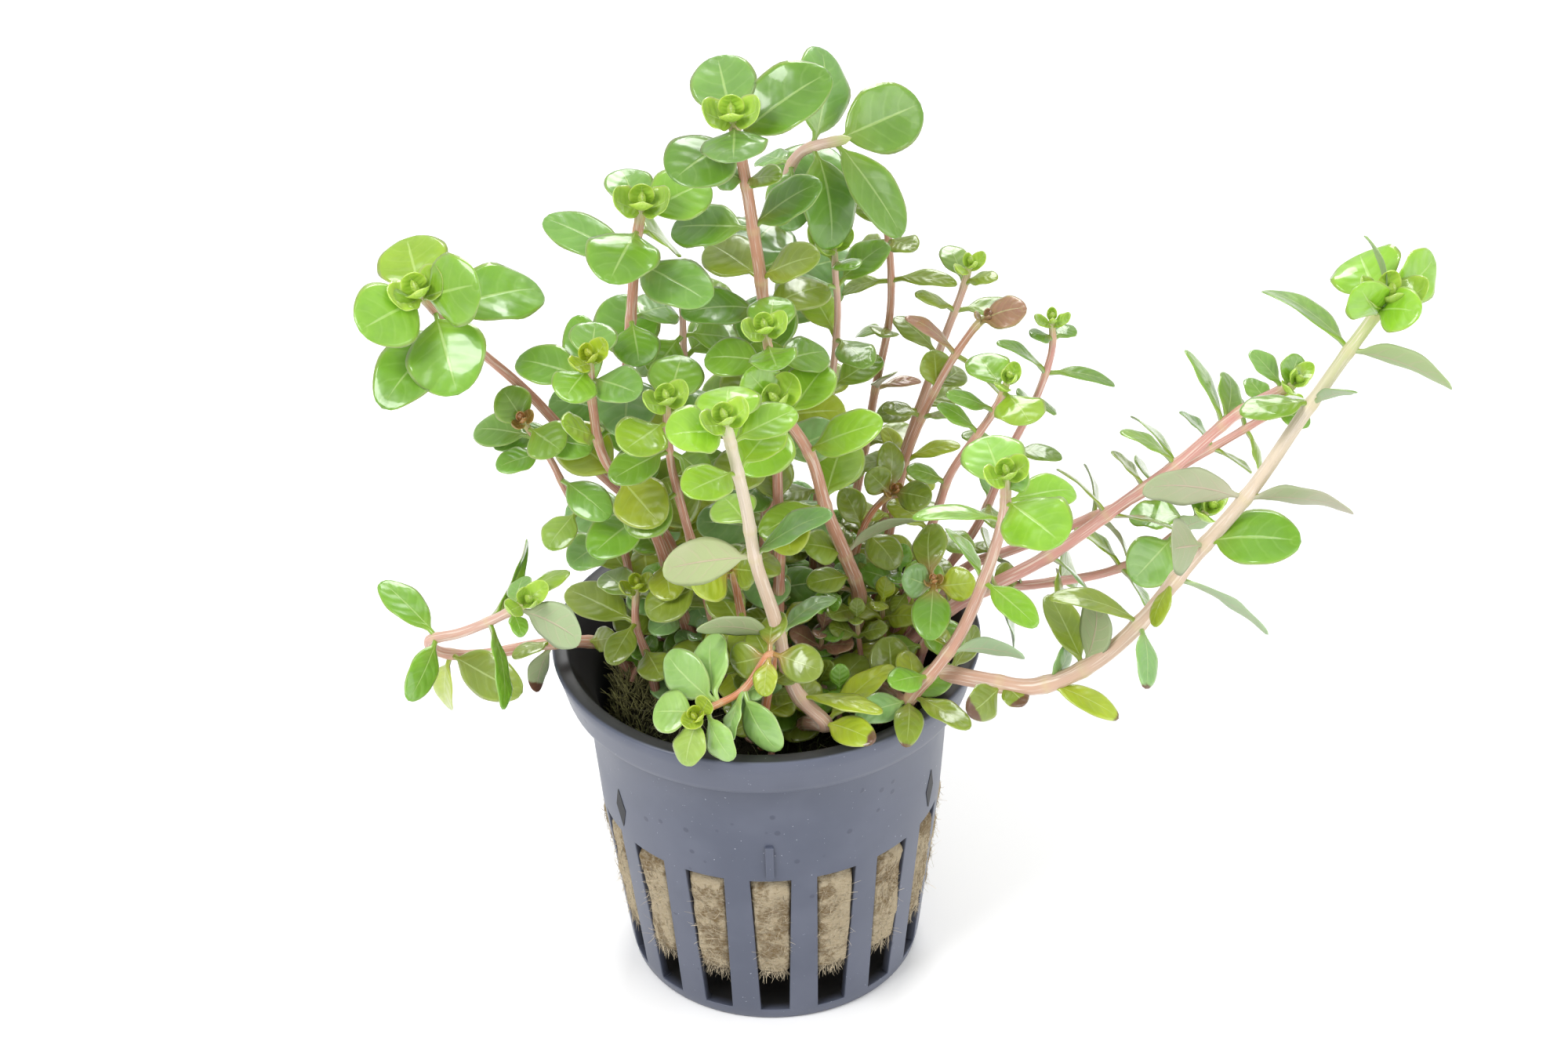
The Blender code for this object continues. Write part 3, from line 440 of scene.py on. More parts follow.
def make_pot(look):
    outline, inner_rows, outer_rows = pot_outline()
    grid = pot_points(outline)
    rows, columns = grid.shape[:2]
    faces = pot_faces(rows, columns, inner_rows, outer_rows)
    floor_rings = [np.arange(columns)[::-1], (rows - 1) * columns + np.arange(columns)]
    mesh = bpy.data.meshes.new("pot")
    points = grid.reshape(-1, 3) * MM
    mesh.from_pydata(points.tolist(), [], faces.tolist() + [ring.tolist() for ring in floor_rings])
    tone = mesh.attributes.new("tone", "FLOAT_COLOR", "POINT")
    tone.data.foreach_set("color", np.repeat(pot_tones(outline), columns, axis=0).reshape(-1))
    body = bmesh.new()
    body.from_mesh(mesh)
    count = len(body.verts)
    add_mark_rib(body)
    tone_last(body, count, POT_BLUE)
    count = len(body.verts)
    for turn in MARK_TURNS:
        add_side_mark(body, turn)
    tone_last(body, count, MARK_DARK)
    bmesh.ops.recalc_face_normals(body, faces=body.faces)
    for face in body.faces:
        face.smooth = True
    body.to_mesh(mesh)
    body.free()
    mesh.materials.append(look)
    pot = add_object("slotted_pot", mesh)
    bevel = pot.modifiers.new("moulded edges", "BEVEL")
    bevel.width = BEVEL_WIDTH * MM
    bevel.segments = 2
    bevel.limit_method = "ANGLE"
    bevel.angle_limit = BEVEL_FROM
    bevel.harden_normals = True
    return pot


# %% [markdown]
# ## Wool plug
#
# The plant is sold with its roots in a plug of mineral wool. It is a soft block that swells a
# little into each slot, has a ragged lower edge and loose fibres, and moss grows on its wet
# top. A turned outline gives the block, noise roughens it, and many thin tubes make the
# fibres and the moss.

# %% The plug's body
PLUG_TOP, PLUG_RADIUS, SWELL = 41.0, 20.5, 1.5
PLUG_OUTLINE = np.array([
    (0.2, 41.3), (9.0, 41.4), (16.0, 40.9), (19.0, 39.6), (20.4, 37.6), (20.9, 34.0),
    (20.75, 26.0), (20.05, 20.0), (19.05, 12.0), (18.3, 8.6), (16.8, 7.2), (9.0, 6.9), (0.2, 6.9)])
PLUG_ROWS, PLUG_COLUMNS = 120, 384
MOUND, MOUND_REACH, MOUND_HEIGHT = np.array([-17.5, -2.0]), np.array([5.0, 9.0]), 3.2


def mound_share(place):
    """How much a point belongs to the moss mound, from 0 to 1."""
    off = (place[..., :2] - MOUND) / MOUND_REACH
    return np.exp(-(off ** 2).sum(-1)) * np.clip((place[..., 2] - 37.0) / 3.0, 0, 1)


def plug_surface(angle, along):
    """A point of the plug: its outline turned about Z, swollen in the slots and roughened.

    along runs from 0 at the top's middle over the shoulder to 1 at the foot's middle.
    """
    step = np.hypot(*np.diff(PLUG_OUTLINE, axis=0).T)
    at = np.concatenate([[0], np.cumsum(step)]) / step.sum()
    radius = np.interp(along, at, PLUG_OUTLINE[:, 0])
    height = np.interp(along, at, PLUG_OUTLINE[:, 1])
    period = 2 * math.pi / SLOTS
    offset = (angle - FRONT_SLOT_ANGLE + period / 2) % period - period / 2
    share = np.abs(offset) / slot_edge_angle(np.maximum(radius, 15.0), height)
    in_slot = np.clip(1 - share ** 8, 0, 1)
    tall = np.clip((SLOT_TOP_HEIGHT - 0.5 - height) / 1.2, 0, 1)
    level = np.clip((height - 6.6) / 2.2, 0, 1)
    outward = SWELL * np.sqrt(in_slot) * tall * level
    place = np.stack([radius * np.cos(angle), radius * np.sin(angle), height], -1)
    lump = rough_noise(place, 5.0, octaves=4, seed=3)
    fine = rough_noise(place, 1.1, octaves=2, seed=11)
    on_top = np.clip((height - 38.0) / 2.0, 0, 1)
    on_foot = np.clip((9.0 - height) / 3.0, 0, 1)
    rough = (0.42 * lump + 0.18 * fine) * (0.2 + 0.8 * in_slot * tall)
    radius = radius + outward + rough * (1 - on_top) * np.clip(radius / 12, 0, 1)
    height = height + on_top * (0.9 * lump + 0.2 * fine) + MOUND_HEIGHT * mound_share(place)
    height = height + on_foot * 1.8 * (rough_noise(place, 3.2, octaves=3, seed=23) + 0.4)
    return np.stack([radius * np.cos(angle), radius * np.sin(angle), height], -1)


def make_plug(look):
    """The plug as one closed tube, whose rings run from the foot to the top."""
    along = np.linspace(0.0, 1.0, PLUG_ROWS)[:, None] * np.ones(PLUG_COLUMNS)
    turn = np.linspace(0, -2 * math.pi, PLUG_COLUMNS, endpoint=False)
    rings = plug_surface(turn[None, :] * np.ones((PLUG_ROWS, 1)), along)[None]
    uv = np.zeros((1, PLUG_ROWS, PLUG_COLUMNS + 1, 2))
    uv[0, :, :, 0] = np.linspace(0, 1, PLUG_COLUMNS + 1)
    uv[0, :, :, 1] = np.linspace(0, 1, PLUG_ROWS)[:, None]
    tone = np.ones((1, PLUG_ROWS, PLUG_COLUMNS, 4))
    top = np.array([[0, 0, rings[0, 0, :, 2].mean()]])
    foot = np.array([[0, 0, rings[0, -1, :, 2].mean()]])
    return add_piece("wool_plug", tubes(rings[:, ::-1], foot, top, uv[:, ::-1], tone), [look])


# %% Thin curved strands
FIBRES, HANGING_FIBRES, FIBRE_TAN = 4800, 1800, (0.74, 0.63, 0.45)
BLADES, MOUND_BLADES, THREADS = 6600, 1600, 480
MOSS_BROWN, MOSS_GREEN = np.array([[0.035, 0.030, 0.014]]), np.array([[0.045, 0.085, 0.012]])
MOSS_OLIVE, THREAD_PALE = np.array([[0.40, 0.38, 0.16]]), np.array([[0.30, 0.27, 0.16, 1.0]])
STRAND_END = 0.92


def strands(foot, heading, length, radius, curl, tone, rings=5, around=3):
    """Many thin tubes: each starts at its foot along its heading and is bent by its curl.

    A point at share s lies at foot + heading * length * s + curl * s squared, and the radius
    shrinks to nothing at the tip.
    """
    share = np.linspace(0, STRAND_END, rings)[None, :, None]
    length = length[:, None, None]
    middle = foot[:, None] + heading[:, None] * length * share + curl[:, None] * share ** 2
    tip = foot + heading * length[:, 0] + curl
    side = np.cross(heading, np.array([0.31, 0.17, 0.93]))
    side /= np.linalg.norm(side, axis=-1, keepdims=True) + 1e-9
    deep = np.cross(heading, side)
    turn = -2 * math.pi * np.arange(around) / around
    arm = np.cos(turn)[:, None] * side[:, None, None] + np.sin(turn)[:, None] * deep[:, None, None]
    thick = radius[:, None, None, None] * np.sqrt(1 - share * 0.8)[..., None]
    points = middle[:, :, None] + arm * thick
    count = len(foot)
    uv = np.zeros((count, rings, around + 1, 2))
    uv[..., 1] = share
    tones = np.broadcast_to(tone[:, None, None], (count, rings, around, 4))
    return tubes(points, foot, tip, uv, tones)


def spread(rng, count, *shape):
    """Random directions: normal numbers made unit vectors."""
    found = rng.normal(size=(count, *shape, 3))
    return found / np.linalg.norm(found, axis=-1, keepdims=True)


def make_fibres(look):
    """Loose fibres on the wool in each slot, and a fringe that hangs from its lower edge."""
    rng = np.random.default_rng(5)
    count = FIBRES
    hanging = np.arange(count) < HANGING_FIBRES
    angle = FRONT_SLOT_ANGLE + 2 * math.pi / SLOTS * rng.integers(0, SLOTS, count)
    angle = angle + rng.uniform(-0.085, 0.085, count)
    along = np.where(hanging, rng.uniform(0.712, 0.762, count), rng.uniform(0.52, 0.735, count))
    foot = plug_surface(angle, along)
    out = np.stack([np.cos(angle), np.sin(angle), np.zeros(count)], -1)
    heading = spread(rng, count)
    heading = heading - out * (heading * out).sum(-1, keepdims=True) * 0.85
    heading = heading + out * rng.uniform(0.02, 0.28, (count, 1))
    down = np.array([[0.0, 0.0, -1.0]])
    heading = np.where(hanging[:, None], down + 0.55 * heading, heading)
    heading /= np.linalg.norm(heading, axis=-1, keepdims=True)
    length = rng.uniform(0.5, 2.0, count)
    curl = spread(rng, count) * rng.uniform(0.1, 0.8, (count, 1)) - out * 0.15
    shade = rng.uniform(0.55, 1.25, (count, 1))
    tone = np.concatenate([np.array([FIBRE_TAN]) * shade, np.ones((count, 1))], 1)
    radius = rng.uniform(0.015, 0.04, count)
    return add_piece("wool_fibres", strands(foot, heading, length, radius, curl, tone), [look])


def make_moss(look):
    """Short blades all over the plug's top, olive on the mound and dark elsewhere, and long
    pale dead threads that lie among them."""
    rng = np.random.default_rng(8)
    count = BLADES
    on_mound = np.arange(count) < MOUND_BLADES
    angle = np.where(
        on_mound, rng.normal(math.pi + 0.1, 0.36, count), rng.uniform(0, 2 * math.pi, count))
    along = np.where(
        on_mound, rng.uniform(0.22, 0.37, count), 0.36 * np.sqrt(rng.uniform(0, 1, count)))
    foot = plug_surface(angle, along) - np.array([0, 0, 0.15])
    patch = value_noise(foot, 4.0, 31)
    up = np.array([[0.0, 0.0, 1.0]])
    heading = up + spread(rng, count) * 0.75
    heading /= np.linalg.norm(heading, axis=-1, keepdims=True)
    mound = mound_share(foot)
    length = rng.uniform(0.7, 1.7, count) * (1 + 0.6 * patch) * (1 + 0.9 * mound)
    curl = spread(rng, count) * rng.uniform(0.1, 0.7, (count, 1))
    green = rng.uniform(0, 1, (count, 1)) * (0.5 + 0.5 * patch[:, None])
    tone = MOSS_BROWN * (1 - green) + MOSS_GREEN * green
    tone = tone * (1 - 0.8 * mound[:, None]) + MOSS_OLIVE * 0.8 * mound[:, None]
    tone = np.concatenate([tone * rng.uniform(0.4, 1.5, (count, 1)), np.ones((count, 1))], 1)
    radius = rng.uniform(0.05, 0.13, count)
    blades = strands(foot, heading, length, radius, curl, tone, rings=4)
    pick = rng.integers(0, count, THREADS)
    level = np.array([1.0, 1.0, 0.35])
    lying = heading[pick] * level + spread(rng, THREADS) * 0.6 * level
    lying /= np.linalg.norm(lying, axis=-1, keepdims=True)
    long = rng.uniform(2.0, 4.5, THREADS)
    over = foot[pick] + np.array([0, 0, 0.7])
    inside = np.hypot(*(over + lying * long[:, None]).T[:2]) < PLUG_RADIUS
    pale = THREAD_PALE * rng.uniform(0.4, 1.2, (THREADS, 1))
    thick = rng.uniform(0.03, 0.06, THREADS)
    bent = spread(rng, THREADS) * level * 0.8
    threads = strands(
        over[inside], lying[inside], long[inside], thick[inside], bent[inside], pale[inside], rings=4)
    return add_piece("moss", join([blades, threads]), [look])


# %% [markdown]
# ## The shoots' plan
#
# Each shoot is a stem that bears leaves in opposite pairs, every pair turned a quarter from
# the one before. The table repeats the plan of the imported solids: the stem's route from the
# plug to its tip, its thickness and its leaves. The leaves that show are listed one by one, and
# the others follow the rule. Most of these routes and listed leaves were worked out beforehand,
# outside this script, from places read off the photograph at an assumed depth or length, and
# then rounded. They are measured data of this one plant, and not a design of a few values.

# %% Routes and leaves, in millimetres
# route: points in mm from the plug to the tip; thick: stem diameter; leaf: length and width;
# gap: between leaf pairs; turn: degrees of the first pair about the stem; rise: degrees above
# square to the stem; light: how far leaves turn to the light, 0 to 1; tint: which leaf colour
Shoot = namedtuple("Shoot", "route thick leaf gap turn rise light tint")
Leaf = namedtuple("Leaf", "out length width roll")
SHOOTS = {
    "shoot_top_centre": Shoot(
        [(-1, 3, 41), (1, 1, 73), (1, -1, 97), (0, -3, 110), (-1, -5, 120), (-2, -7, 127)],
        2.0, (12, 9.5), 8.5, 0, 14, 0.5, "green"),
    "shoot_top_right": Shoot(
        [(3, 14, 41), (3, 14, 69), (4, 13, 91), (4, 12, 105), (6, 11, 112), (12, 9, 115)],
        1.9, (13, 10.5), 8.5, 60, 14, 0.4, "green"),
    "shoot_left_top": Shoot(
        [(-12, 12, 41), (-16, 6, 65), (-16, 1, 87), (-15, -1, 98), (-14, -3, 108), (-13, -4, 114)],
        1.8, (12, 9.5), 8.5, 0, 10, 0.5, "green"),
    "shoot_left_far": Shoot(
        [(-9, 6, 41), (-12, 2, 62), (-20, 0, 74), (-28, -2, 87), (-36, -5, 98), (-40, -9, 106)],
        1.6, (12, 10), 8.0, 20, 6, 0.6, "green"),
    "shoot_left_mid": Shoot(
        [(-8, -1, 41), (-14, -4, 69), (-19, -8, 81), (-20, -10, 90), (-20, -12, 98)],
        1.6, (11, 8), 8.0, 40, 10, 0.5, "green"),
    "shoot_left_low": Shoot(
        [(-16, 3, 41), (-18, 0, 64), (-23, -2, 70), (-26, -4, 79), (-29, -6, 86)],
        1.2, (9, 7), 7.5, 30, 8, 0.5, "olive"),
    "shoot_left_inner": Shoot(
        [(-4, -5, 41), (-10, -9, 75), (-11, -12, 85), (-11, -14, 93)],
        1.4, (10, 8), 8.0, 20, 10, 0.5, "green"),
    "shoot_left_short": Shoot(
        [(-14, -5, 41), (-15, -6, 49), (-16.4, -6, 55), (-16, -6, 61)],
        1.3, (10, 7), 7.0, 20, 12, 0.5, "olive"),
    "shoot_left_trailing": Shoot(
        [(-17, 0, 41), (-20, -1, 48), (-27, -4, 51), (-36, -6, 51), (-41, -8, 53), (-42, -11, 57),
         (-38, -14, 60), (-34, -16, 63), (-29, -18, 67)],
        1.7, (11, 6), 8.5, 50, 15, 0.2, "green"),
    "shoot_front_pale": Shoot(
        [(4, -12, 41), (4.5, -13.5, 44), (6, -17.5, 46.8), (6.8, -20, 49), (3, -17.5, 52.8),
         (1, -17, 63), (-1, -21, 74), (-2, -25, 85), (-4, -30, 100)],
        2.0, (10.5, 8), 9.5, 20, 5, 0.5, "green"),
    "shoot_front_small": Shoot(
        [(-1, -14.5, 41), (-0.5, -17.5, 49), (0.6, -20, 59.6), (-3, -21, 55), (-7, -23, 54),
         (-9, -25, 54)],
        1.3, (8, 6), 5.0, 30, 20, 0.5, "fresh"),
    "shoot_front_right": Shoot(
        [(12, -2, 41), (12.3, -3.5, 43.6), (14.5, -9, 45.8), (17, -14.5, 47.6), (18.2, -16.8, 50.5),
         (23.6, -16, 58), (27, -17, 68), (29, -19, 78), (29, -22, 86)],
        1.9, (10, 7.5), 9.0, 20, 8, 0.5, "green"),
    "shoot_centre_pink": Shoot(
        [(9, 3, 41), (11, 1, 47), (12, 0, 54), (10, -3, 63), (8, -6, 71), (6, -10, 82), (2, -14, 92)],
        2.0, (12, 9.5), 9.0, 45, 12, 0.6, "green"),
    "shoot_centre": Shoot(
        [(1, -3, 41), (2, -4, 64), (2, -5, 73), (2, -8, 90), (1, -10, 100)],
        1.6, (10, 7.5), 8.0, 10, 14, 0.5, "green"),
    "shoot_back_left": Shoot(
        [(-5, 12, 41), (-7, 10, 60), (-8, 9, 70), (-9, 6, 86), (-9, 4, 96), (-10, 3, 100)],
        1.2, (9, 7), 8.5, 20, 6, 0.4, "green"),
    "shoot_back_slim": Shoot(
        [(6, 11, 41), (7, 11, 60), (10, 9, 87), (10, 8, 97), (10, 8, 101)],
        1.2, (9, 5.5), 8.0, 30, 18, 0.3, "olive"),
    "shoot_back_tall": Shoot(
        [(9, 16, 41), (13, 17, 62), (15, 17, 74), (17, 16, 86), (17, 15, 96), (16, 15, 102)],
        1.3, (9, 5), 9.0, 20, 10, 0.3, "olive"),
    "shoot_back_right": Shoot(
        [(12, 12, 41), (16, 13, 58), (19, 14, 68), (23, 14, 81), (26, 14, 90), (27, 14, 94)],
        1.4, (8, 4.5), 8.5, 35, 12, 0.3, "olive"),
    "shoot_brown_leaf": Shoot(
        [(13, 7, 41), (17, 8, 62), (19, 8, 71), (23, 8, 81), (27, 8, 88), (29, 8, 90)],
        1.4, (8, 5), 8.5, 10, 14, 0.3, "brown"),
    "shoot_right_slim": Shoot(
        [(15, 3, 41), (22, 3, 64), (24, 2, 71), (29, 1, 80), (31, 1, 85)],
        1.4, (8, 5), 8.0, 60, 12, 0.4, "olive"),
    "shoot_right_thin": Shoot(
        [(16, 9, 41), (27, 10, 56), (32, 10, 69), (35, 10, 76), (37, 10, 83), (37, 10, 88)],
        1.3, (8, 4), 8.0, 0, 15, 0.2, "olive"),
    "shoot_right_arch": Shoot(
        [(17.5, -7, 41), (19, -9.5, 47), (22, -13, 50.6), (26, -15, 51), (33, -17, 51), (40, -17, 54),
         (46, -17, 60), (52, -17, 69), (59, -17, 79), (65, -15, 88), (70, -13, 95), (75, -12, 102.5)],
        2.3, (13, 6), 12.0, 10, 8, 0.2, "green"),
    "shoot_right_red": Shoot(
        [(15, -1, 41), (18, 0, 46), (24, 1, 51), (36, 4, 56), (45, 7, 61), (53, 8, 67), (61, 9, 74),
         (68, 9, 78)],
        2.0, (10, 5.5), 9.0, 60, 14, 0.1, "olive"),
    "shoot_right_behind": Shoot(
        [(17, 6, 41), (22, 8, 48), (27, 9, 52), (33, 11, 53), (42, 14, 55), (49, 16, 57),
         (55, 17, 61), (62, 18, 65), (68, 18, 69)],
        1.5, (9, 5), 9.0, 30, 16, 0.2, "olive"),
    "shoot_right_low": Shoot(
        [(17, 1, 41), (19, 2, 46), (22, 4, 50), (28, 5, 51), (36, 7, 50), (47, 9, 51), (58, 11, 58)],
        1.5, (11, 7), 9.0, 70, 10, 0.3, "olive"),
    "rosette_right": Shoot(
        [(18, -3, 41), (21, -6, 54), (21, -10, 63)],
        1.4, (8, 6), 6.0, 15, 10, 0.6, "olive"),
    "rosette_left": Shoot(
        [(-1, -8, 41), (-3, -11, 59), (-4, -14, 69)],
        1.4, (10, 7), 6.5, 30, 10, 0.6, "olive"),
    "rosette_brown": Shoot(
        [(9, 8, 41), (12, 5, 58), (14, 4, 64), (17, 3, 68)],
        1.2, (8, 5.5), 6.5, 40, 10, 0.6, "brown"),
}

# Leaves that show in the plant's outline: the node's distance from the shoot's tip, how far the
# leaf reaches to the right, to the back and up, its width, and how many degrees its blade is
# rolled about its length, where it is. The other leaves follow a rule
SHOWN_LEAVES = {
    "shoot_top_centre": [
        (2, (-2, 9, 5), 8), (2, (0, -8, 0), 8), (4, (-7, -8, 2), 9), (4, (11, 3, 7), 9),
        (11, (4, -4, 3), 4), (11, (-4, -1, 3), 5), (18, (-10, 4, -2), 7), (18, (8, -1, 7), 6),
        (26, (-6, 6, 2), 7), (26, (7, -3, 5), 6), (31, (-10, -4, 3), 6), (31, (8, 6, 0), 6)],
    "shoot_top_right": [
        (2, (11, 5, 2), 9), (2, (8, -6, -10), 7), (5, (2, 9, 9), 8), (5, (2, -6, -11), 9),
        (9, (1, -8, -5), 6), (9, (-4, 4, -1), 5)],
    "shoot_left_top": [
        (2, (-2, 7, 3), 6), (2, (7, 6, 3), 8), (4, (-3, -10, -1), 9), (4, (4, 5, -5), 7),
        (9, (-11, 6, 3), 6), (9, (12, -4, -1), 8), (18, (1, -6, -3), 6), (18, (5, 6, -2), 6)],
    "shoot_left_far": [
        (1.5, (-2, 8, 4), 9), (1.5, (7, -5, 5), 9, 30), (1.5, (-7, -7, 0), 9, -20),
        (4.7, (3, -9, -6), 10), (5.6, (12, 8, -1), 9), (8.7, (-8, -12, 0), 8, -10),
        (31, (-8, -4, -1), 4)],
    "shoot_left_mid": [
        (2, (1, 6, 3), 6), (2, (-3, -5, -1), 6), (4, (-9, 4, 1), 6), (4, (6, -5, 1), 6),
        (7, (-4, 7, 7), 5), (14, (-4, -3, 4), 5), (14, (5, 6, 0), 6)],
    "shoot_left_low": [
        (2, (-4, 4, 4), 6), (2, (4, -4, -1), 6), (4, (-8, 4, -1), 5), (4, (7, -3, 0), 5),
        (7, (-6, -3, 0), 4), (12, (6, -6, -2), 5), (18, (-4, -4, -3), 5)],
    "shoot_left_inner": [
        (2, (2, 8, 3), 7), (4, (-5, -6, 0), 7), (4, (6, 5, 0), 6), (9, (-7, -5, -1), 5),
        (9, (5, 2, -7), 6)],
    "shoot_left_short": [
        (2.5, (-4, 5, 1), 5), (2.5, (3, 4, 0), 5), (6, (-7, 8, 2), 6), (6, (-3, -6, -2), 4)],
    "shoot_left_trailing": [
        (2, (8, -4, -2), 6, -120), (2, (1, 4, 2), 4, -60), (3, (6, 4, 5), 5, -60),
        (3, (3, -3, -1), 3), (6.7, (5, 10, 5), 5, 50), (6.7, (2, -10, -6), 5, -30),
        (16.2, (-7, 7, 4), 5), (16.2, (-3, -9, -3), 4), (24.9, (9, -7, -1), 6),
        (24.9, (-1, -1, -8), 5), (38.3, (-5, -4, 1), 3, -50),
        (38.3, (-2, -4, -5), 4, 70)],
    "shoot_front_pale": [
        (3, (0, 8, 2), 8), (3, (-7, -4, 3), 7), (4.5, (8, 5, 1), 5), (10, (-6, -6, 1), 6),
        (10, (5, 6, 3), 6), (21, (-3, 6, 1), 6), (26.7, (-11, -6, 3), 6, 130),
        (26.7, (9, -3, 8), 5, -20), (43, (-10, -3, 4), 5, 80), (43, (7, 6, 2), 4, -20),
        (52, (10, -5, 1), 4, -20),
        (57, (9, -7, -1), 5), (57, (9, 7, 4), 5, -40)],
    "shoot_front_right": [
        (4, (-2, 8, 3), 8), (4, (2, -1, 5), 5), (6, (6, -9, 0), 9), (6, (9, 4, -1), 5),
        (9.5, (-11, -1, 2), 4, 30), (20, (6, -7, -2), 4, 10), (20, (-4, 8, 3), 4, 40),
        (31.7, (9, -6, 3), 4, -70), (31.7, (-2, 5, 1), 3), (39.6, (7, -7, 0), 4, -10),
        (39.6, (0, 7, 2), 4, 10), (41.2, (-7, -4, 3), 4), (41.2, (0, -7, -3), 4, -20)],
    "shoot_centre_pink": [
        (2, (-4, 0, 6), 6), (4, (0, 10, 5), 8), (4, (-6, -8, -2), 9), (11, (9, -4, 6), 6),
        (22, (3, 8, 5), 7), (22, (-8, -5, -1), 5), (33, (10, -3, 7), 4, -80), (33, (-5, -2, 3), 5),
        (41.9, (-8, 3, 0), 4, 40), (41.9, (6, 4, -3), 4), (46.5, (7, 5, 1), 4, 80),
        (49, (-4, -5, -3), 4, 20), (49, (3, -5, 0), 3, 10)],
    "shoot_centre": [
        (3, (1, 7, 3), 6), (3, (1, -7, 1), 6), (6, (-8, 1, 1), 6), (6, (7, 4, -1), 6)],
    "shoot_back_left": [
        (5, (-6, 5, -2), 6), (5, (6, 4, 0), 5), (10, (-4, -4, -3), 6), (10, (6, 2, -2), 6),
        (14, (6, 5, 2), 7), (14, (-6, 3, -2), 6)],
    "shoot_back_tall": [
        (3, (1, 5, 2), 3), (3, (-4, 2, 3), 3), (5, (3, -4, 1), 4), (5, (-4, 2, -2), 4),
        (11, (8, -3, 1), 3), (11, (-6, 3, -2), 3), (19, (-4, 3, -2), 3), (19, (-1, -4, 2), 4),
        (28, (2, -3, 4), 4), (28, (6, 2, 0), 2)],
    "shoot_back_right": [
        (3, (-2, 5, 3), 4), (3, (4, -2, 2), 3), (7, (-5, -2, 4), 3), (7, (9, 1, -1), 4),
        (14, (-6, 2, 4), 4)],
    "shoot_brown_leaf": [
        (2, (6, -1, 3), 5), (7, (-6, 0, 6), 3), (7, (6, 0, -6), 3), (13, (0, 2, 5), 5),
        (13, (4, 5, 0), 4), (17, (-5, 1, 1), 3), (17, (4, -3, 2), 3), (24, (7, -1, 3), 3),
        (24, (-6, 1, -1), 4)],
    "shoot_right_slim": [
        (2, (-3, 6, 2), 6), (2, (3, -6, -1), 7), (5, (-6, -2, 4), 3), (9, (-5, 1, 4), 3),
        (18, (-5, -1, 3), 3)],
    "shoot_right_thin": [
        (3, (-3, -2, 2), 3), (3, (3, 3, 0), 3), (8, (-6, -2, 6), 3), (8, (9, 2, -3), 3),
        (13, (3, 2, -2), 3), (13, (-2, -2, 3), 3)],
    "shoot_right_arch": [
        (1, (-2, 9, 2), 9, -30), (1, (5, 7, 4), 7, 50), (2.4, (-3, -4, 6), 6, -90),
        (2.4, (4, -6, 4), 6, 60), (8, (-9, 9, 4), 6), (8, (11, -9, 0), 6, -40),
        (15.8, (-9, -3, 1), 5), (15.8, (4, -5, 5), 4, 10), (30, (-13, -3, 4), 6, 90),
        (30, (12, -7, 3), 6, -40), (38, (11, -4, 3), 8, 30), (38, (-5, -5, 3), 7, 140),
        (44, (11, -5, -5), 4, -50), (44, (-3, -3, -5), 4, 70), (52, (-11, 0, 5), 4), (52, (0, -8, -4), 4, -10),
        (61.4, (-4, 8, 6), 5, -30), (61.4, (2, 2, 9), 6, 60), (66.5, (9, -3, -3), 4, 20),
        (66.5, (3, 3, 4), 4), (72.4, (-4, -5, -1), 5, 20), (72.4, (3, -3, -1), 4, 50)],
    "shoot_right_red": [
        (2, (-4, 3, 4), 4), (2, (2, 2, 4), 4), (8, (8, -2, 3), 5), (11, (-4, 6, 8), 5),
        (11, (0, 7, 3), 5), (19, (-7, 1, 5), 4), (19, (-6, 7, 4), 4), (24, (-4, 3, 4), 4),
        (24, (7, 2, 0), 3), (30, (9, -2, -1), 4), (30, (-6, 4, 5), 3)],
    "shoot_right_behind": [
        (2, (5, -1, -1), 4), (2, (-3, 4, 3), 4), (6, (2, -3, -5), 3), (6, (-2, 4, 4), 4),
        (11, (5, -3, -2), 3), (11, (-4, 3, 4), 4)],
    "shoot_right_low": [
        (3, (-8, 2, 0), 7), (3, (3, 4, 3), 5), (6, (-6, -7, -2), 7), (6, (4, -2, 4), 4),
        (14, (-4, 6, 5), 5), (14, (3, -6, -2), 4)],
    "shoot_front_small": [
        (1, (-2, -4, -5), 5, 20), (1, (-6, 2, -1), 6, 20), (2.2, (3, -5, -4), 5, 20),
        (3.8, (1, 7, 6), 6), (3.8, (-7, 3, 5), 6), (7.6, (4, -5, -6), 6), (7.6, (-2, -5, -4), 4, 20),
        (13.7, (6, -4, 0), 5), (13.7, (-5, 3, -2), 5, -20)],
    "rosette_right": [
        (1, (0, 6, 5), 5, -30), (1, (-1, -8, -3), 5), (2, (-4, -2, 3), 4.5, -30),
        (2, (5, -2, 2), 4.5, 30)],
    "rosette_brown": [
        (1, (-3, -1, 4), 4, -40), (1, (5, -3, 1), 4.5, 10), (2.2, (1, 4, 6), 4.5, 20)],
    "rosette_left": [
        (1, (-5, -5, 1), 6, -30), (1, (3, -5, 3), 5, 40), (3, (5, 5, 0), 6), (3, (-5, 6, 1), 6)],
}

# Leaves that only the dressed shoots have, in the same order of numbers
EXTRA_LEAVES = {
    "shoot_right_arch": [
        (0.6, (-2.2, 1.5, 8.4), 3, 70), (0.8, (4.5, 3, -0.5), 4)],
    "shoot_front_right": [
        (41.5, (6, 3, 3), 4), (36, (-5, -4, 2), 4), (41.2, (-0.3, -9.5, 0.2), 3.8)],
    "shoot_centre_pink": [(45, (-4, -6, 4), 4), (38, (-6, -3, 1), 4)],
    "shoot_front_small": [(13.4, (-1, -4, -3.5), 3.5), (13.4, (1, 5, 3), 4)],
}

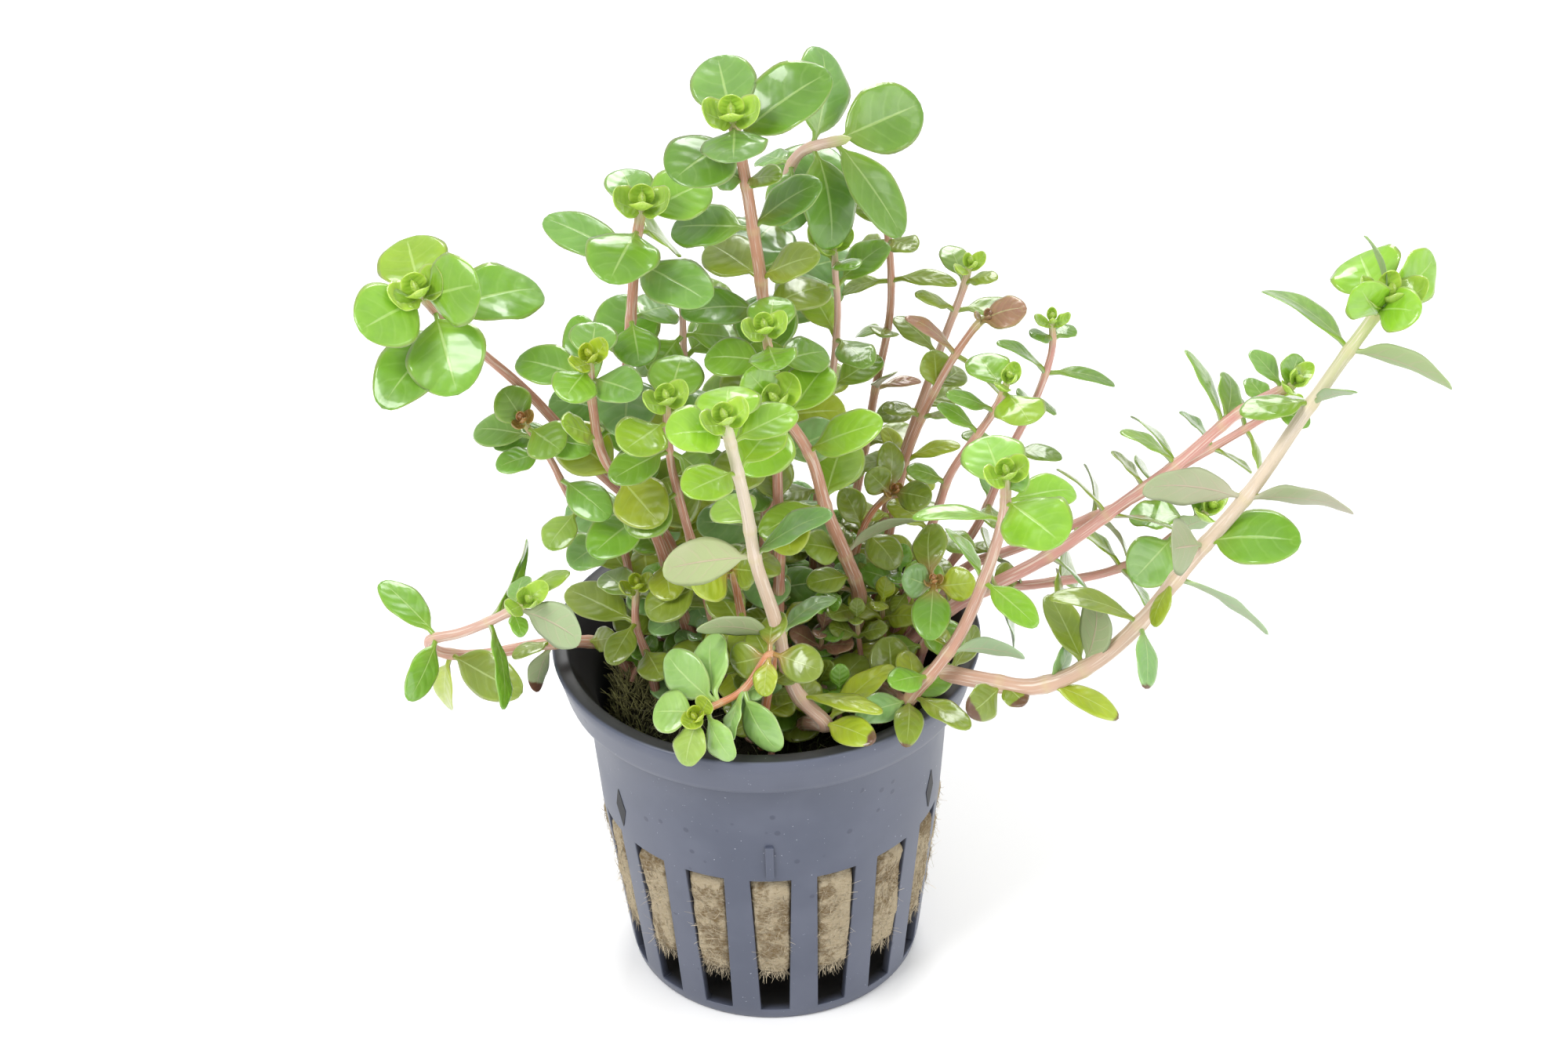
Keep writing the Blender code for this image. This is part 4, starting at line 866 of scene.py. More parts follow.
# Leaves with a colour of their own or a withered tip: node, reach, tone, the tone at the leaf's
# base and the withered share of its length. An empty name leaves the shoot's tone as it is
MARKED_LEAVES = {
    "rosette_right": [
        (1, (0, 6, 5), "olive", "rust", 0), (1, (-1, -8, -3), "green", "rust", 0),
        (2, (-4, -2, 3), "bluish", "rust", 0), (2, (5, -2, 2), "yellow", "rust", 0)],
    "rosette_brown": [
        (1, (-3, -1, 4), "olive", "rust", 0), (1, (5, -3, 1), "olive", "brown", 0),
        (2.2, (1, 4, 6), "olive", "rust", 0)],
    "rosette_left": [
        (1, (-5, -5, 1), "yellow", "rust", 0), (1, (3, -5, 3), "olive", "rust", 0),
        (3, (5, 5, 0), "olive", "rust", 0), (3, (-5, 6, 1), "olive", "rust", 0)],
    "shoot_front_small": [
        (13.7, (6, -4, 0), "olive", "rust", 0), (13.7, (-5, 3, -2), "olive", "rust", 0),
        (13.4, (-1, -4, -3.5), "yellow", "rust", 0), (13.4, (1, 5, 3), "olive", "rust", 0)],
    "shoot_brown_leaf": [(2, (6, -1, 3), "brown", "", 0), (7, (-6, 0, 6), "brown", "", 0)],
    "shoot_back_tall": [(28, (6, 2, 0), "brown", "", 0)],
    "shoot_centre_pink": [(41.9, (-8, 3, 0), "brown", "", 0)],
    "shoot_front_pale": [(57, (8, -9.2, 0.6), "yellow", "", 0.12)],
    "shoot_front_right": [(41.2, (-0.3, -9.5, 0.2), "olive", "", 0.08)],
    "shoot_right_arch": [
        (72.4, (-4, -5, -1), "olive", "", 0.2), (72.4, (3, -3, -1), "olive", "", 0.25),
        (52, (0, -8, -4), "", "", 0.08), (66.5, (9, -3, -3), "yellow", "", 0.08),
        (38, (11, -4, 3), "green", "", 0), (1, (-2, 9, 2), "fresh", "", 0),
        (1, (5, 7, 4), "fresh", "", 0), (2.4, (-3, -4, 6), "fresh", "", 0),
        (2.4, (4, -6, 4), "fresh", "", 0)],
    "shoot_left_trailing": [
        (38.3, (-2, -4, -5), "olive", "", 0.2), (24.9, (9, -7, -1), "olive", "", 0)],
}

# Shoots that end in a large leaf and show no bud
NO_BUD = {"shoot_top_right"}

# Folded pairs at each tip: distance from it, size as a part of the full leaf, rise in degrees.
# Their leaves are a little broader for their length
BUD_PAIRS = ((1.1, 0.42, 38), (0.5, 0.30, 58), (0.0, 0.20, 80))
BUD_WIDTH = 1.12

# Where a shoot's folded pairs are smaller or broader than usual: times the length and the width
BUD_SCALES = {
    "rosette_right": (0.55, 0.55), "rosette_brown": (0.6, 0.6), "rosette_left": (0.5, 0.5),
    "shoot_left_low": (0.6, 0.6), "shoot_brown_leaf": (0.65, 0.65), "shoot_left_mid": (0.85, 0.9),
    "shoot_left_short": (0.8, 0.85), "shoot_right_arch": (1.15, 1.7)}

# How many sprouts the plug's top bears
SPROUTS = 44

# %% [markdown]
# ## From the plan to places
#
# A stem's centre line is a smooth curve through its route's points. A leaf starts on it at its
# node. Where a solid leaf would have touched a neighbour, the solids' plan turned it aside or
# made it smaller. The same tries are repeated here, and the one whose tip is a corner of the
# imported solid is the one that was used, so each dressed leaf lies on its solid.

# %% Centre lines and leaf places
# The rule's first two pairs: distance from the tip, size as a part of the full leaf, rise
TIP_BACK, TIP_PAIRS = 0.2, ((3.2, 0.68, 38), (6.4, 0.94, 24))
TIP_LIGHT, TIP_LIGHT_REACH = 0.8, 6.0
FOOT_SIZE, BARE_FOOT = 0.68, 15.0
CORNER_NEAR = 0.06
# Old leaves near the plug: gap as a part of the shoot's gap, how far from the foot they start,
# the least and the greatest size and rise, and the chance of each leaf
LOW_GAP, LOW_FROM, LOW_SIZES, LOW_RISES, LOW_CHANCE = 0.6, 2.5, (0.45, 0.75), (-12, 25), 0.9
LIGHT = Vector((0.0, -0.6, 0.8))
# Each try turns a leaf about the stem and lifts it, in degrees, and scales it
LEAF_TRIES = (
    (0, 0, 1.0), (14, 0, 1.0), (-14, 0, 1.0), (0, 14, 1.0), (0, -14, 1.0), (24, 8, 0.95),
    (-24, 8, 0.95), (20, -12, 0.9), (-20, -12, 0.9), (0, 26, 0.85), (34, 0, 0.8), (-34, 0, 0.8),
    (0, -24, 0.75), (0, 0, 0.65), (28, 18, 0.65), (-28, 18, 0.65),
)
Place = namedtuple("Place", "foot axis out length width roll back kind")


def smooth_route(points, step=1.0):
    """Points about a step apart on the Catmull-Rom curve through the route's own points."""
    points = np.array(points, float)
    ends = np.concatenate([[2 * points[0] - points[1]], points, [2 * points[-1] - points[-2]]])
    found = []
    for before, start, stop, after in zip(ends, ends[1:], ends[2:], ends[3:]):
        parts = max(2, round(float(np.linalg.norm(stop - start)) / step))
        t = (np.arange(parts) / parts)[:, None]
        found.append(0.5 * (2 * start + (stop - before) * t
                            + (2 * before - 5 * start + 4 * stop - after) * t ** 2
                            + (3 * start - before - 3 * stop + after) * t ** 3))
    return np.concatenate(found + [points[-1:]])


class Route:
    """A stem's centre line, read by the distance from its foot."""

    def __init__(self, points):
        self.points = smooth_route(points)
        steps = np.linalg.norm(np.diff(self.points, axis=0), axis=1)
        self.along = np.concatenate([[0.0], np.cumsum(steps)])
        self.length = float(self.along[-1])

    def place(self, distance):
        columns = [np.interp(distance, self.along, self.points[:, axis]) for axis in range(3)]
        return np.stack(columns, -1)

    def heading(self, distance):
        ahead = self.place(np.minimum(self.length, distance + 1.0))
        arm = ahead - self.place(np.maximum(0.0, distance - 1.0))
        return arm / np.linalg.norm(arm, axis=-1, keepdims=True)


def side_of(heading, turn):
    """A direction square to the stem: to the right at a turn of 0, to the back at 90."""
    across = Vector((0, 1, 0)).cross(heading).normalized()
    return Matrix.Rotation(math.radians(turn), 3, heading) @ across


def light_axis(route, shoot, back):
    """The stem's heading at a node, leant towards the light, which the leaves face."""
    share = max(shoot.light, TIP_LIGHT * (1.0 - back / TIP_LIGHT_REACH))
    heading = Vector(route.heading(route.length - back))
    return heading.lerp(LIGHT, share).normalized()


def rule_pair(route, shoot, back, index, size, rise):
    """Two opposite leaves, a quarter turn from the pair before."""
    axis = light_axis(route, shoot, back)
    pair = []
    for side_turn in (0, 180):
        side = side_of(axis, shoot.turn + 90 * index + side_turn)
        out = side * math.cos(math.radians(rise)) + axis * math.sin(math.radians(rise))
        pair.append(Leaf(out, shoot.leaf[0] * size, shoot.leaf[1] * size, 0))
    return pair


def leaf_nodes(name, shoot, route):
    """Each node's distance from the tip and its leaves, from the tip down."""
    nodes = [(TIP_BACK, [])]
    for back, reach, width, *roll in SHOWN_LEAVES.get(name, []):
        if nodes[-1][0] != back:
            nodes.append((back, []))
        out = Vector(reach)
        nodes[-1][1].append(Leaf(out.normalized(), out.length, width, roll[0] if roll else 0))
    if len(nodes) == 1:
        for index, (back, size, rise) in enumerate(TIP_PAIRS, start=1):
            nodes.append((back, rule_pair(route, shoot, back, index, size, rise)))
    back = nodes[-1][0] + shoot.gap
    while back < route.length - BARE_FOOT:
        size = 1.0 + (FOOT_SIZE - 1.0) * back / route.length
        nodes.append((back, rule_pair(route, shoot, back, len(nodes), size, shoot.rise)))
        back += shoot.gap
    return nodes


def corner_tree(node):
    """A quick finder of the CAD solid's corners, in mm."""
    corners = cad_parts[node].data.vertices
    tree = KDTree(len(corners))
    for index, corner in enumerate(corners):
        tree.insert(corner.co / MM, index)
    tree.balance()
    return tree


def solid_leaf(tree, foot, axis, leaf, back):
    """The try whose tip is a corner of the solid, or None where the solid has no such leaf."""
    for twist, lift, scale in LEAF_TRIES:
        out = Matrix.Rotation(math.radians(twist), 3, axis) @ leaf.out
        out = Matrix.Rotation(math.radians(lift), 3, out.cross(axis)) @ out
        length = leaf.length * scale
        if tree.find(foot + out * length)[2] < CORNER_NEAR:
            return Place(foot, axis, out, length, leaf.width * scale, leaf.roll, back, "solid")
    return None


def tip_leaves(name, route, shoot):
    """The folded young leaves at the very tip, steeper and smaller towards the middle."""
    found = []
    for index, (back, size, rise) in enumerate(BUD_PAIRS):
        foot = Vector(route.place(route.length - back))
        axis = light_axis(route, shoot, back)
        for leaf in rule_pair(route, shoot, back, index, size, rise):
            long, broad = BUD_SCALES.get(name, (1.0, BUD_WIDTH))
            wide = leaf._replace(length=leaf.length * long, width=leaf.width * broad)
            found.append(Place(foot, axis, *wide, back, "young"))
    return found


def extra_leaves(name, route, shoot):
    """Leaves that the solids leave out, where EXTRA_LEAVES puts them."""
    found = []
    for back, reach, width, *roll in EXTRA_LEAVES.get(name, []):
        out = Vector(reach)
        found.append(Place(
            Vector(route.place(route.length - back)), light_axis(route, shoot, back),
            out.normalized(), out.length, width, roll[0] if roll else 0, back, "extra"))
    return found


def clear_of_pot(tip):
    """True where a leaf's tip is above the plug and doesn't run into the pot's wall."""
    outside = math.hypot(tip.x, tip.y) > PLUG_RADIUS and tip.z < RIM_HEIGHT + 2
    return not outside and tip.z > PLUG_TOP + 0.5


def low_leaves(route, shoot, last_back, rng):
    """Small old leaves near the plug, where the solid stem is bare."""
    found = []
    back = last_back + shoot.gap * LOW_GAP
    index = 5
    while back < route.length - LOW_FROM:
        foot = Vector(route.place(route.length - back))
        axis = light_axis(route, shoot, back)
        size = rng.uniform(*LOW_SIZES)
        for leaf in rule_pair(route, shoot, back, index, size, rng.uniform(*LOW_RISES)):
            if clear_of_pot(foot + leaf.out * (leaf.length + 1.0)) and rng.uniform() < LOW_CHANCE:
                found.append(Place(foot, axis, *leaf, back, "low"))
        back += shoot.gap * LOW_GAP
        index += 1
    return found


def places_of(name, shoot, route, rng):
    """Every leaf of a shoot, and the nodes' distances from the foot."""
    tree = corner_tree(name)
    found = [] if name in NO_BUD else tip_leaves(name, route, shoot)
    found += extra_leaves(name, route, shoot)
    nodes = leaf_nodes(name, shoot, route)
    missing = 0
    for back, leaves in nodes[1:]:
        foot = Vector(route.place(route.length - back))
        axis = light_axis(route, shoot, back)
        for leaf in leaves:
            place = solid_leaf(tree, foot, axis, leaf, back)
            if place:
                found.append(place)
            else:
                missing += 1
    found += low_leaves(route, shoot, nodes[-1][0], rng)
    return found, missing


# %% [markdown]
# ## A leaf
#
# A leaf is a closed tube that has been pressed flat: its rings run across the blade, over the
# top from the left edge to the right one and back along the underside. The stalk is narrow
# and round, the blade widens as the root of a sine and is widest just past its middle. It is
# arched along its length, cupped across, folded a little at the midrib, and its edge waves.

# %% The leaf surface
TOP_ACROSS = np.array([-1.0, -0.86, -0.6, -0.3, 0.0, 0.3, 0.6, 0.86, 1.0])
UNDER_ACROSS = np.array([0.8, 0.4, 0.0, -0.4, -0.8])
ACROSS = np.concatenate([TOP_ACROSS, UNDER_ACROSS])
IS_TOP = np.concatenate([np.ones(len(TOP_ACROSS)), -np.ones(len(UNDER_ACROSS))])
LEAF_RINGS = 19
BLADE_THICKNESS = 0.34
STALK_RADIUS = 0.34
ARCH_TOP, DROOP_FROM, STALK_FADE = 0.46, 0.6, 0.12
BASE_FADE = 0.45
TOP_FINISH, UNDER_FINISH, STEM_FINISH = 0, 1, 2


def leaf_half_width(share, stalk, width):
    """Half the leaf's width at a share of its length: a round stalk, then the root of a sine."""
    q = np.clip((share - stalk) / (1 - stalk), 0, 1)
    power = np.where(q < 0.5, 0.66, 0.48)
    blade = np.sin(math.pi * q) ** power
    stem_side = STALK_RADIUS * np.sqrt(np.clip(1 - q, 0, 1))
    return np.maximum(width / 2 * blade, stem_side), blade


def leaf_axes(place):
    """Out along the blade, to its left and up from its face, which the roll turns from the light."""
    face = (place.axis - place.out * place.axis.dot(place.out)).normalized()
    face = Matrix.Rotation(math.radians(place.roll), 3, place.out) @ face
    return [place.out, face.cross(place.out), face]


def leaf_patch(places, shape, tones, under=UNDER_FINISH):
    """All leaves of a shoot at once. shape holds a row of numbers for each leaf: stalk share,
    arch, droop, cup, fold, ripple, ripple phase and sideways bend. tones is (leaf, 2, 4): the
    tone at the leaf's base fades into the blade's."""
    ease = 0.5 - 0.5 * np.cos(np.linspace(0, math.pi, LEAF_RINGS + 2))
    share = (0.65 * ease + 0.35 * np.linspace(0, 1, LEAF_RINGS + 2))[1:-1]
    length = np.array([place.length for place in places])[:, None]
    width = np.array([place.width for place in places])[:, None]
    stalk, arch, droop, cup, fold, ripple, phase, bend = (shape[:, k, None] for k in range(8))
    half, blade = leaf_half_width(share[None], stalk, width)
    across = ACROSS[None, None]
    reach = np.where(share < ARCH_TOP, ARCH_TOP, 1 - ARCH_TOP)
    level = arch * length * (1 - ((share - ARCH_TOP) / reach) ** 2)
    level = level - droop * length * np.clip((share - DROOP_FROM) / (1 - DROOP_FROM), 0, 1) ** 2
    wave = np.sin(2 * math.pi * (2.3 * share[None, :, None] + phase[..., None]) + 1.6 * across)
    rise = cup[..., None] * (across ** 2 - 0.3)
    rise = rise + fold[..., None] * (np.sqrt(across ** 2 + 0.02) - 0.4)
    rise = (rise + ripple[..., None] * wave * across ** 2) * (half * blade)[..., None]
    stalk_part = np.clip(1 - (share[None] - stalk) / STALK_FADE, 0, 1)
    thick = BLADE_THICKNESS / 2 + (STALK_RADIUS - BLADE_THICKNESS / 2) * stalk_part
    skin = IS_TOP * np.sqrt(np.clip(1 - ACROSS ** 2, 0, 1))
    up = level[..., None] + rise + thick[..., None] * skin[None, None]
    along = np.broadcast_to(share[None, :, None] * length[..., None], up.shape)
    sideways = half[..., None] * across + (bend * length * share[None] ** 2)[..., None]
    local = np.stack([along, sideways, up], -1)
    turn = np.array([leaf_axes(place) for place in places])
    foot = np.array([place.foot for place in places])
    points = np.einsum("nsrk,nkc->nsrc", local, turn) + foot[:, None, None]
    tip_local = np.concatenate([length, bend * length, -droop * length], 1)
    tip = np.einsum("nk,nkc->nc", tip_local, turn) + foot
    uv = np.zeros((len(places), LEAF_RINGS, len(ACROSS) + 1, 2))
    uv[..., 0] = share[None, :, None]
    uv[..., 1] = 0.5 + 0.5 * np.append(ACROSS, -1.0)
    fade = np.clip(share / BASE_FADE, 0, 1)[None, :, None, None]
    tone = tones[:, 0, None, None] * (1 - fade) + tones[:, 1, None, None] * fade
    tone = np.broadcast_to(tone, (len(places), LEAF_RINGS, len(ACROSS), 4))
    strip = np.where(np.arange(len(ACROSS)) < len(TOP_ACROSS) - 1, TOP_FINISH, under)
    return tubes(points, foot, tip, uv, tone, ring_look=strip)


# %% [markdown]
# ## A stem
#
# A rotala stem is round with faint ridges, thins towards its tip, and has a swollen ring with
# a pale band at each node. The tube follows the route in rings about half a millimetre apart.

# %% The stem surface
STEM_AROUND = 14
STEM_STEP = 0.55
STEM_TAPER = 0.35
STEM_RIDGES, RIDGE_HEIGHT, NODE_SWELLING = 7, 0.035, 0.13
GREEN_TIP = 3.0
LONG_GREEN_TIP = {"shoot_right_arch": 18.0}


def stem_patch(shoot, route, node_distances, foot_tone, tip_tone, power, green_tip=GREEN_TIP):
    """A tube along the route: its radius tapers, swells at each node and is ridged round it.

    The tone fades from the foot's to the tip's and to green at the very tip, and its alpha
    holds the band of each node.
    """
    rings = max(8, int(route.length / STEM_STEP))
    distance = np.linspace(0.0, route.length, rings)
    place = route.place(distance)
    heading = route.heading(distance)
    place[0, 2] += 0.3
    across = np.cross([0.0, 1.0, 0.0], heading)
    across /= np.linalg.norm(across, axis=1, keepdims=True)
    deep = np.cross(heading, across)
    gap = distance[:, None] - np.array(node_distances)[None]
    ring = np.exp(-(gap / 0.45) ** 2).max(1, initial=0.0)
    swelling = np.exp(-(gap / 0.8) ** 2).max(1, initial=0.0)
    radius = shoot.thick / 2 * (1 - STEM_TAPER * distance / route.length)
    radius = radius * (1 + NODE_SWELLING * swelling)
    radius = radius * np.clip((route.length + 0.6 - distance) / 1.2, 0.3, 1)
    turn = -2 * math.pi * np.arange(STEM_AROUND) / STEM_AROUND
    ridge = 1 + RIDGE_HEIGHT * np.cos(turn * STEM_RIDGES)
    arm = across[:, None] * np.cos(turn)[None, :, None] + deep[:, None] * np.sin(turn)[None, :, None]
    points = place[:, None] + arm * (radius[:, None] * ridge[None])[..., None]
    share = (distance / route.length)[:, None, None]
    tone = np.empty((1, rings, STEM_AROUND, 4))
    sap = np.clip(1 - (route.length - distance) / green_tip, 0, 1)[:, None, None]
    tone[0, ..., :3] = foot_tone * (1 - share ** power) + tip_tone * share ** power
    tone[0, ..., :3] = tone[0, ..., :3] * (1 - sap) + TONES["tip green"] * sap
    tone[0, ..., 3] = ring[:, None]
    uv = np.zeros((1, rings, STEM_AROUND + 1, 2))
    uv[0, ..., 0] = np.linspace(0, 1, STEM_AROUND + 1)
    uv[0, ..., 1] = distance[:, None] * 0.1
    first = (place[0] - heading[0] * 0.05)[None]
    last = (place[-1] + heading[-1] * 0.4)[None]
    return tubes(points[None], first, last, uv, tone, look=STEM_FINISH)


# %% [markdown]
# ## Leaf and stem colours
#
# The folded leaves at most tips are lime, and the green turns deeper or olive lower down. Among
# the old leaves some are bluish, yellow or olive. Each leaf gets a tone of its own, chosen by
# its shoot, its distance from the tip and a seeded random number, and a yellower base.

# %% Tones
TONES = {name: np.array(tone) for name, tone in {
    "lime": (0.44, 0.63, 0.09), "fresh": (0.28, 0.54, 0.030), "green": (0.175, 0.370, 0.024),
    "deep": (0.120, 0.265, 0.022), "olive": (0.225, 0.295, 0.024), "yellow": (0.40, 0.49, 0.026),
    "bluish": (0.235, 0.420, 0.14), "mint": (0.31, 0.53, 0.15), "brown": (0.36, 0.18, 0.11),
    "rust": (0.50, 0.21, 0.08), "pink": (0.56, 0.28, 0.19), "dark pink": (0.51, 0.22, 0.15),
    "red": (0.63, 0.31, 0.26), "pale pink": (0.68, 0.44, 0.36), "blush": (0.70, 0.51, 0.41),
    "cream": (0.74, 0.67, 0.52), "tip green": (0.48, 0.58, 0.18), "orange": (0.62, 0.23, 0.10),
}.items()}

# Each shoot's leaf tone near the tip and low down, and its stem's tone at the foot and at the tip
# with the power that says how late the one turns into the other
SHOOT_TONES = {
    "shoot_top_centre": ("deep", "deep", "pink", "pink", 2.0),
    "shoot_top_right": ("deep", "deep", "pink", "blush", 4.0),
    "shoot_left_top": ("green", "deep", "dark pink", "pink", 4.0),
    "shoot_left_far": ("green", "deep", "dark pink", "pink", 2.0),
    "shoot_left_mid": ("green", "green", "dark pink", "pink", 2.0),
    "shoot_left_low": ("green", "bluish", "dark pink", "pink", 2.0),
    "shoot_left_inner": ("green", "olive", "dark pink", "pink", 2.0),
    "shoot_left_short": ("olive", "olive", "dark pink", "pink", 2.0),
    "shoot_left_trailing": ("green", "green", "pink", "pale pink", 2.0),
    "shoot_front_pale": ("fresh", "yellow", "pink", "cream", 0.8),
    "shoot_front_small": ("mint", "mint", "orange", "orange", 2.0),
    "shoot_front_right": ("fresh", "green", "pink", "pale pink", 2.0),
    "shoot_centre_pink": ("fresh", "olive", "pink", "pink", 2.0),
    "shoot_centre": ("green", "olive", "dark pink", "pink", 2.0),
    "shoot_back_tall": ("olive", "olive", "pink", "pink", 2.0),
    "shoot_back_right": ("olive", "olive", "pink", "pale pink", 2.0),
    "shoot_brown_leaf": ("olive", "olive", "pink", "pink", 2.0),
    "shoot_right_slim": ("green", "olive", "red", "pink", 2.0),
    "shoot_right_thin": ("deep", "olive", "red", "red", 2.0),
    "shoot_right_arch": ("green", "olive", "pink", "cream", 0.9),
    "shoot_right_red": ("green", "olive", "red", "red", 2.0),
    "shoot_right_behind": ("deep", "olive", "red", "red", 2.0),
    "shoot_right_low": ("green", "olive", "red", "red", 2.0),
    "rosette_right": ("green", "olive", "red", "orange", 2.0),
    "rosette_left": ("olive", "olive", "dark pink", "orange", 2.0),
    "rosette_brown": ("olive", "olive", "dark pink", "orange", 2.0),
}
USUAL_TONES = ("green", "olive", "pink", "pale pink", 2.0)
BUD_TONES = {
    "shoot_front_small": "yellow", "rosette_right": "rust", "rosette_left": "yellow",
    "rosette_brown": "rust", "shoot_brown_leaf": "brown", "shoot_left_mid": "yellow",
    "shoot_left_low": "rust", "shoot_left_short": "yellow"}

# The distance from the tip where a leaf is old, and the odd tones among the old leaves: the
# number that a leaf's random number has to be below, the tone and how bright it is
OLD_BACK = 42.0
OLD_TONES = ((0.14, "bluish", 1.0), (0.38, "yellow", 0.85), (0.60, "olive", 1.0))


def mark_of(name, place):
    """The tone, base tone and withered share of a leaf that MARKED_LEAVES lists."""
    for back, reach, tone, base, worn in MARKED_LEAVES.get(name, []):
        if place.back == back and place.out.dot(Vector(reach).normalized()) > 0.9:
            return tone, base, worn
    return "", "", 0.0


def leaf_tones(name, places, rng):
    """Two tones a leaf, at its base and on its blade, and in their alpha how far it has withered.

    The bud's tone fades into the shoot's tone within a few millimetres of the tip, and that
    into the tone of the old leaves lower down.
    """
    high, low = SHOOT_TONES.get(name, USUAL_TONES)[:2]
    bud = TONES[BUD_TONES.get(name, "lime")]
    rows = []
    for place in places:
        age = np.clip(place.back / OLD_BACK, 0, 1)
        tone = TONES[high] * (1 - age) + TONES[low] * age
        fresh = 1.15 - place.back / 3.0 if place.kind == "young" else 0.18 - place.back / 25.0
        fresh = np.clip(fresh, 0, 1)
        tone = tone * (1 - fresh) + bud * fresh
        chance = rng.uniform()
        if place.kind == "low" or (place.kind == "solid" and age > 0.5):
            for below, odd, strength in OLD_TONES:
                if chance < below:
                    tone = TONES[odd] * strength
                    break
        elif place.kind == "solid" and chance < 0.24:
            tone = tone * 0.6 + TONES["yellow" if chance < 0.1 else "bluish"] * 0.4
        tone = tone * rng.uniform(0.88, 1.14)
        mark, base, worn = mark_of(name, place)
        if mark:
            tone = TONES[mark]
        root = TONES[base] if base else tone * 0.65 + TONES["yellow"] * 0.35
        rows.append([np.append(root, worn), np.append(tone, worn)])
    return np.array(rows)


def leaf_shapes(places, rng):
    """Stalk share, arch, droop, cup, fold, ripple, phase and bend of each leaf."""
    rows = []
    for place in places:
        if place.kind == "young":
            form = [0.05, 0.02, -0.20, 0.38]
        else:
            form = [np.clip(1.5 / place.length, 0.06, 0.2), rng.uniform(0.04, 0.10),
                    rng.uniform(0.0, 0.06), rng.uniform(-0.16, 0.12)]
        rows.append(form + [
            rng.uniform(0.02, 0.14), rng.uniform(0.02, 0.09), rng.uniform(),
            rng.uniform(-0.04, 0.04)])
    return np.array(rows)


def grow(name, shoot, seed, looks):
    """One dressed shoot: its stem and all its leaves in one mesh.

    The folded leaves at its tip come first in the list, and are as bright below as above.
    """
    rng = np.random.default_rng(seed)
    route = Route(shoot.route)
    places, missing = places_of(name, shoot, route, rng)
    backs = sorted({round(place.back, 2) for place in places if place.back > 1.5})
    distances = [route.length - back for back in backs]
    foot_tone, tip_tone, power = SHOOT_TONES.get(name, USUAL_TONES)[2:]
    shapes, tones = leaf_shapes(places, rng), leaf_tones(name, places, rng)
    patches = [stem_patch(
        shoot, route, distances, TONES[foot_tone], TONES[tip_tone], power,
        LONG_GREEN_TIP.get(name, GREEN_TIP))]
    young = sum(place.kind == "young" for place in places)
    if young:
        patches.append(leaf_patch(places[:young], shapes[:young], tones[:young], TOP_FINISH))
    patches.append(leaf_patch(places[young:], shapes[young:], tones[young:]))
    piece = add_piece("leafy_" + name.replace("shoot_", ""), join(patches), looks)
    print(name, len(places), "leaves,", missing, "left out by the solid")
    return piece


# %% [markdown]
# ## Young sprouts in the pot
#
# Short young shoots fill the space between the tall stems. They are too many and too small for
# solids of their own. Each is a thin stem of some millimetres with two or three small pairs.

# %% Sprouts between the stems
GOLDEN_TURN, SPROUTS_REACH = 2.39996, 18.5
SPROUT_TONES = ("olive", "yellow", "green", "bluish", "yellow", "olive", "green", "brown")


def sprout(foot, tip, leaf, pairs, rng):
    """Leaves and stem of one sprout, from its foot on the plug to its tip."""
    bend = (np.array(foot) * 0.6 + np.array(tip) * 0.4) + rng.uniform(-0.8, 0.8, 3)
    shoot = Shoot(
        [foot, tuple(bend), tip], 0.9, (leaf, leaf * 0.72), 3.2, rng.uniform(0, 90), 15, 0.6, "olive")
    route = Route(shoot.route)
    places = []
    for index in range(pairs):
        back = 0.4 + index * min(2.6, (route.length - 2.0) / pairs)
        size = min(1.0, 0.5 + 0.25 * index)
        rise = 48 - 16 * index
        at = Vector(route.place(route.length - back))
        axis = light_axis(route, shoot, back)
        for each in rule_pair(route, shoot, back, index, size, rise):
            if clear_of_pot(at + each.out * (each.length + 0.6)):
                places.append(Place(at, axis, *each, back, "extra"))
    if not places:
        return []
    base = TONES[SPROUT_TONES[rng.integers(0, len(SPROUT_TONES))]]
    tones = np.array([[np.append(base * rng.uniform(0.8, 1.2), 0.0)] * 2 for place in places])
    return [
        leaf_patch(places, leaf_shapes(places, rng), tones),
        stem_patch(shoot, route, [], TONES["dark pink"] * 0.8, TONES["pink"], 1.0)]


def make_sprouts(looks):
    """Sprouts on a sunflower spiral over the plug's top, but none at the front left."""
    rng = np.random.default_rng(21)
    patches = []
    for index in range(SPROUTS):
        turn = index * GOLDEN_TURN
        radius = SPROUTS_REACH * math.sqrt((index + 0.5) / SPROUTS)
        x, y = radius * math.cos(turn), radius * math.sin(turn)
        if x < -1 and y < -6:
            continue
        tall = rng.uniform(4.0, 15.0) * (1.0 if y > -8 else 0.7)
        lean = rng.uniform(-2.5, 2.5, 2) - np.array([x, y]) * 0.1
        tip = (x + lean[0], y + lean[1], PLUG_TOP + 0.5 + tall)
        patches += sprout((x, y, PLUG_TOP), tip, rng.uniform(5.5, 8.5), int(rng.integers(2, 4)), rng)
    return add_piece("young_sprouts", join(patches), looks)


# %% [markdown]
# ## Finishes
#
# Every finish is worked out in nodes from the piece's own UV map, its tones or its object
# coordinates. What several finishes share is a node group: the veins of a leaf serve its top
# and its underside.

# %% Small helpers for node trees


def new_material(name, roughness, **sockets):
    """A material with its one shader, whose constant numbers are set on its own sockets."""
    made = bpy.data.materials.new(name)
    made.use_nodes = True
    shader = made.node_tree.nodes["Principled BSDF"]
    shader.inputs["Roughness"].default_value = roughness
    for socket, value in sockets.items():
        shader.inputs[socket.replace("_", " ")].default_value = value
    return made, made.node_tree, shader


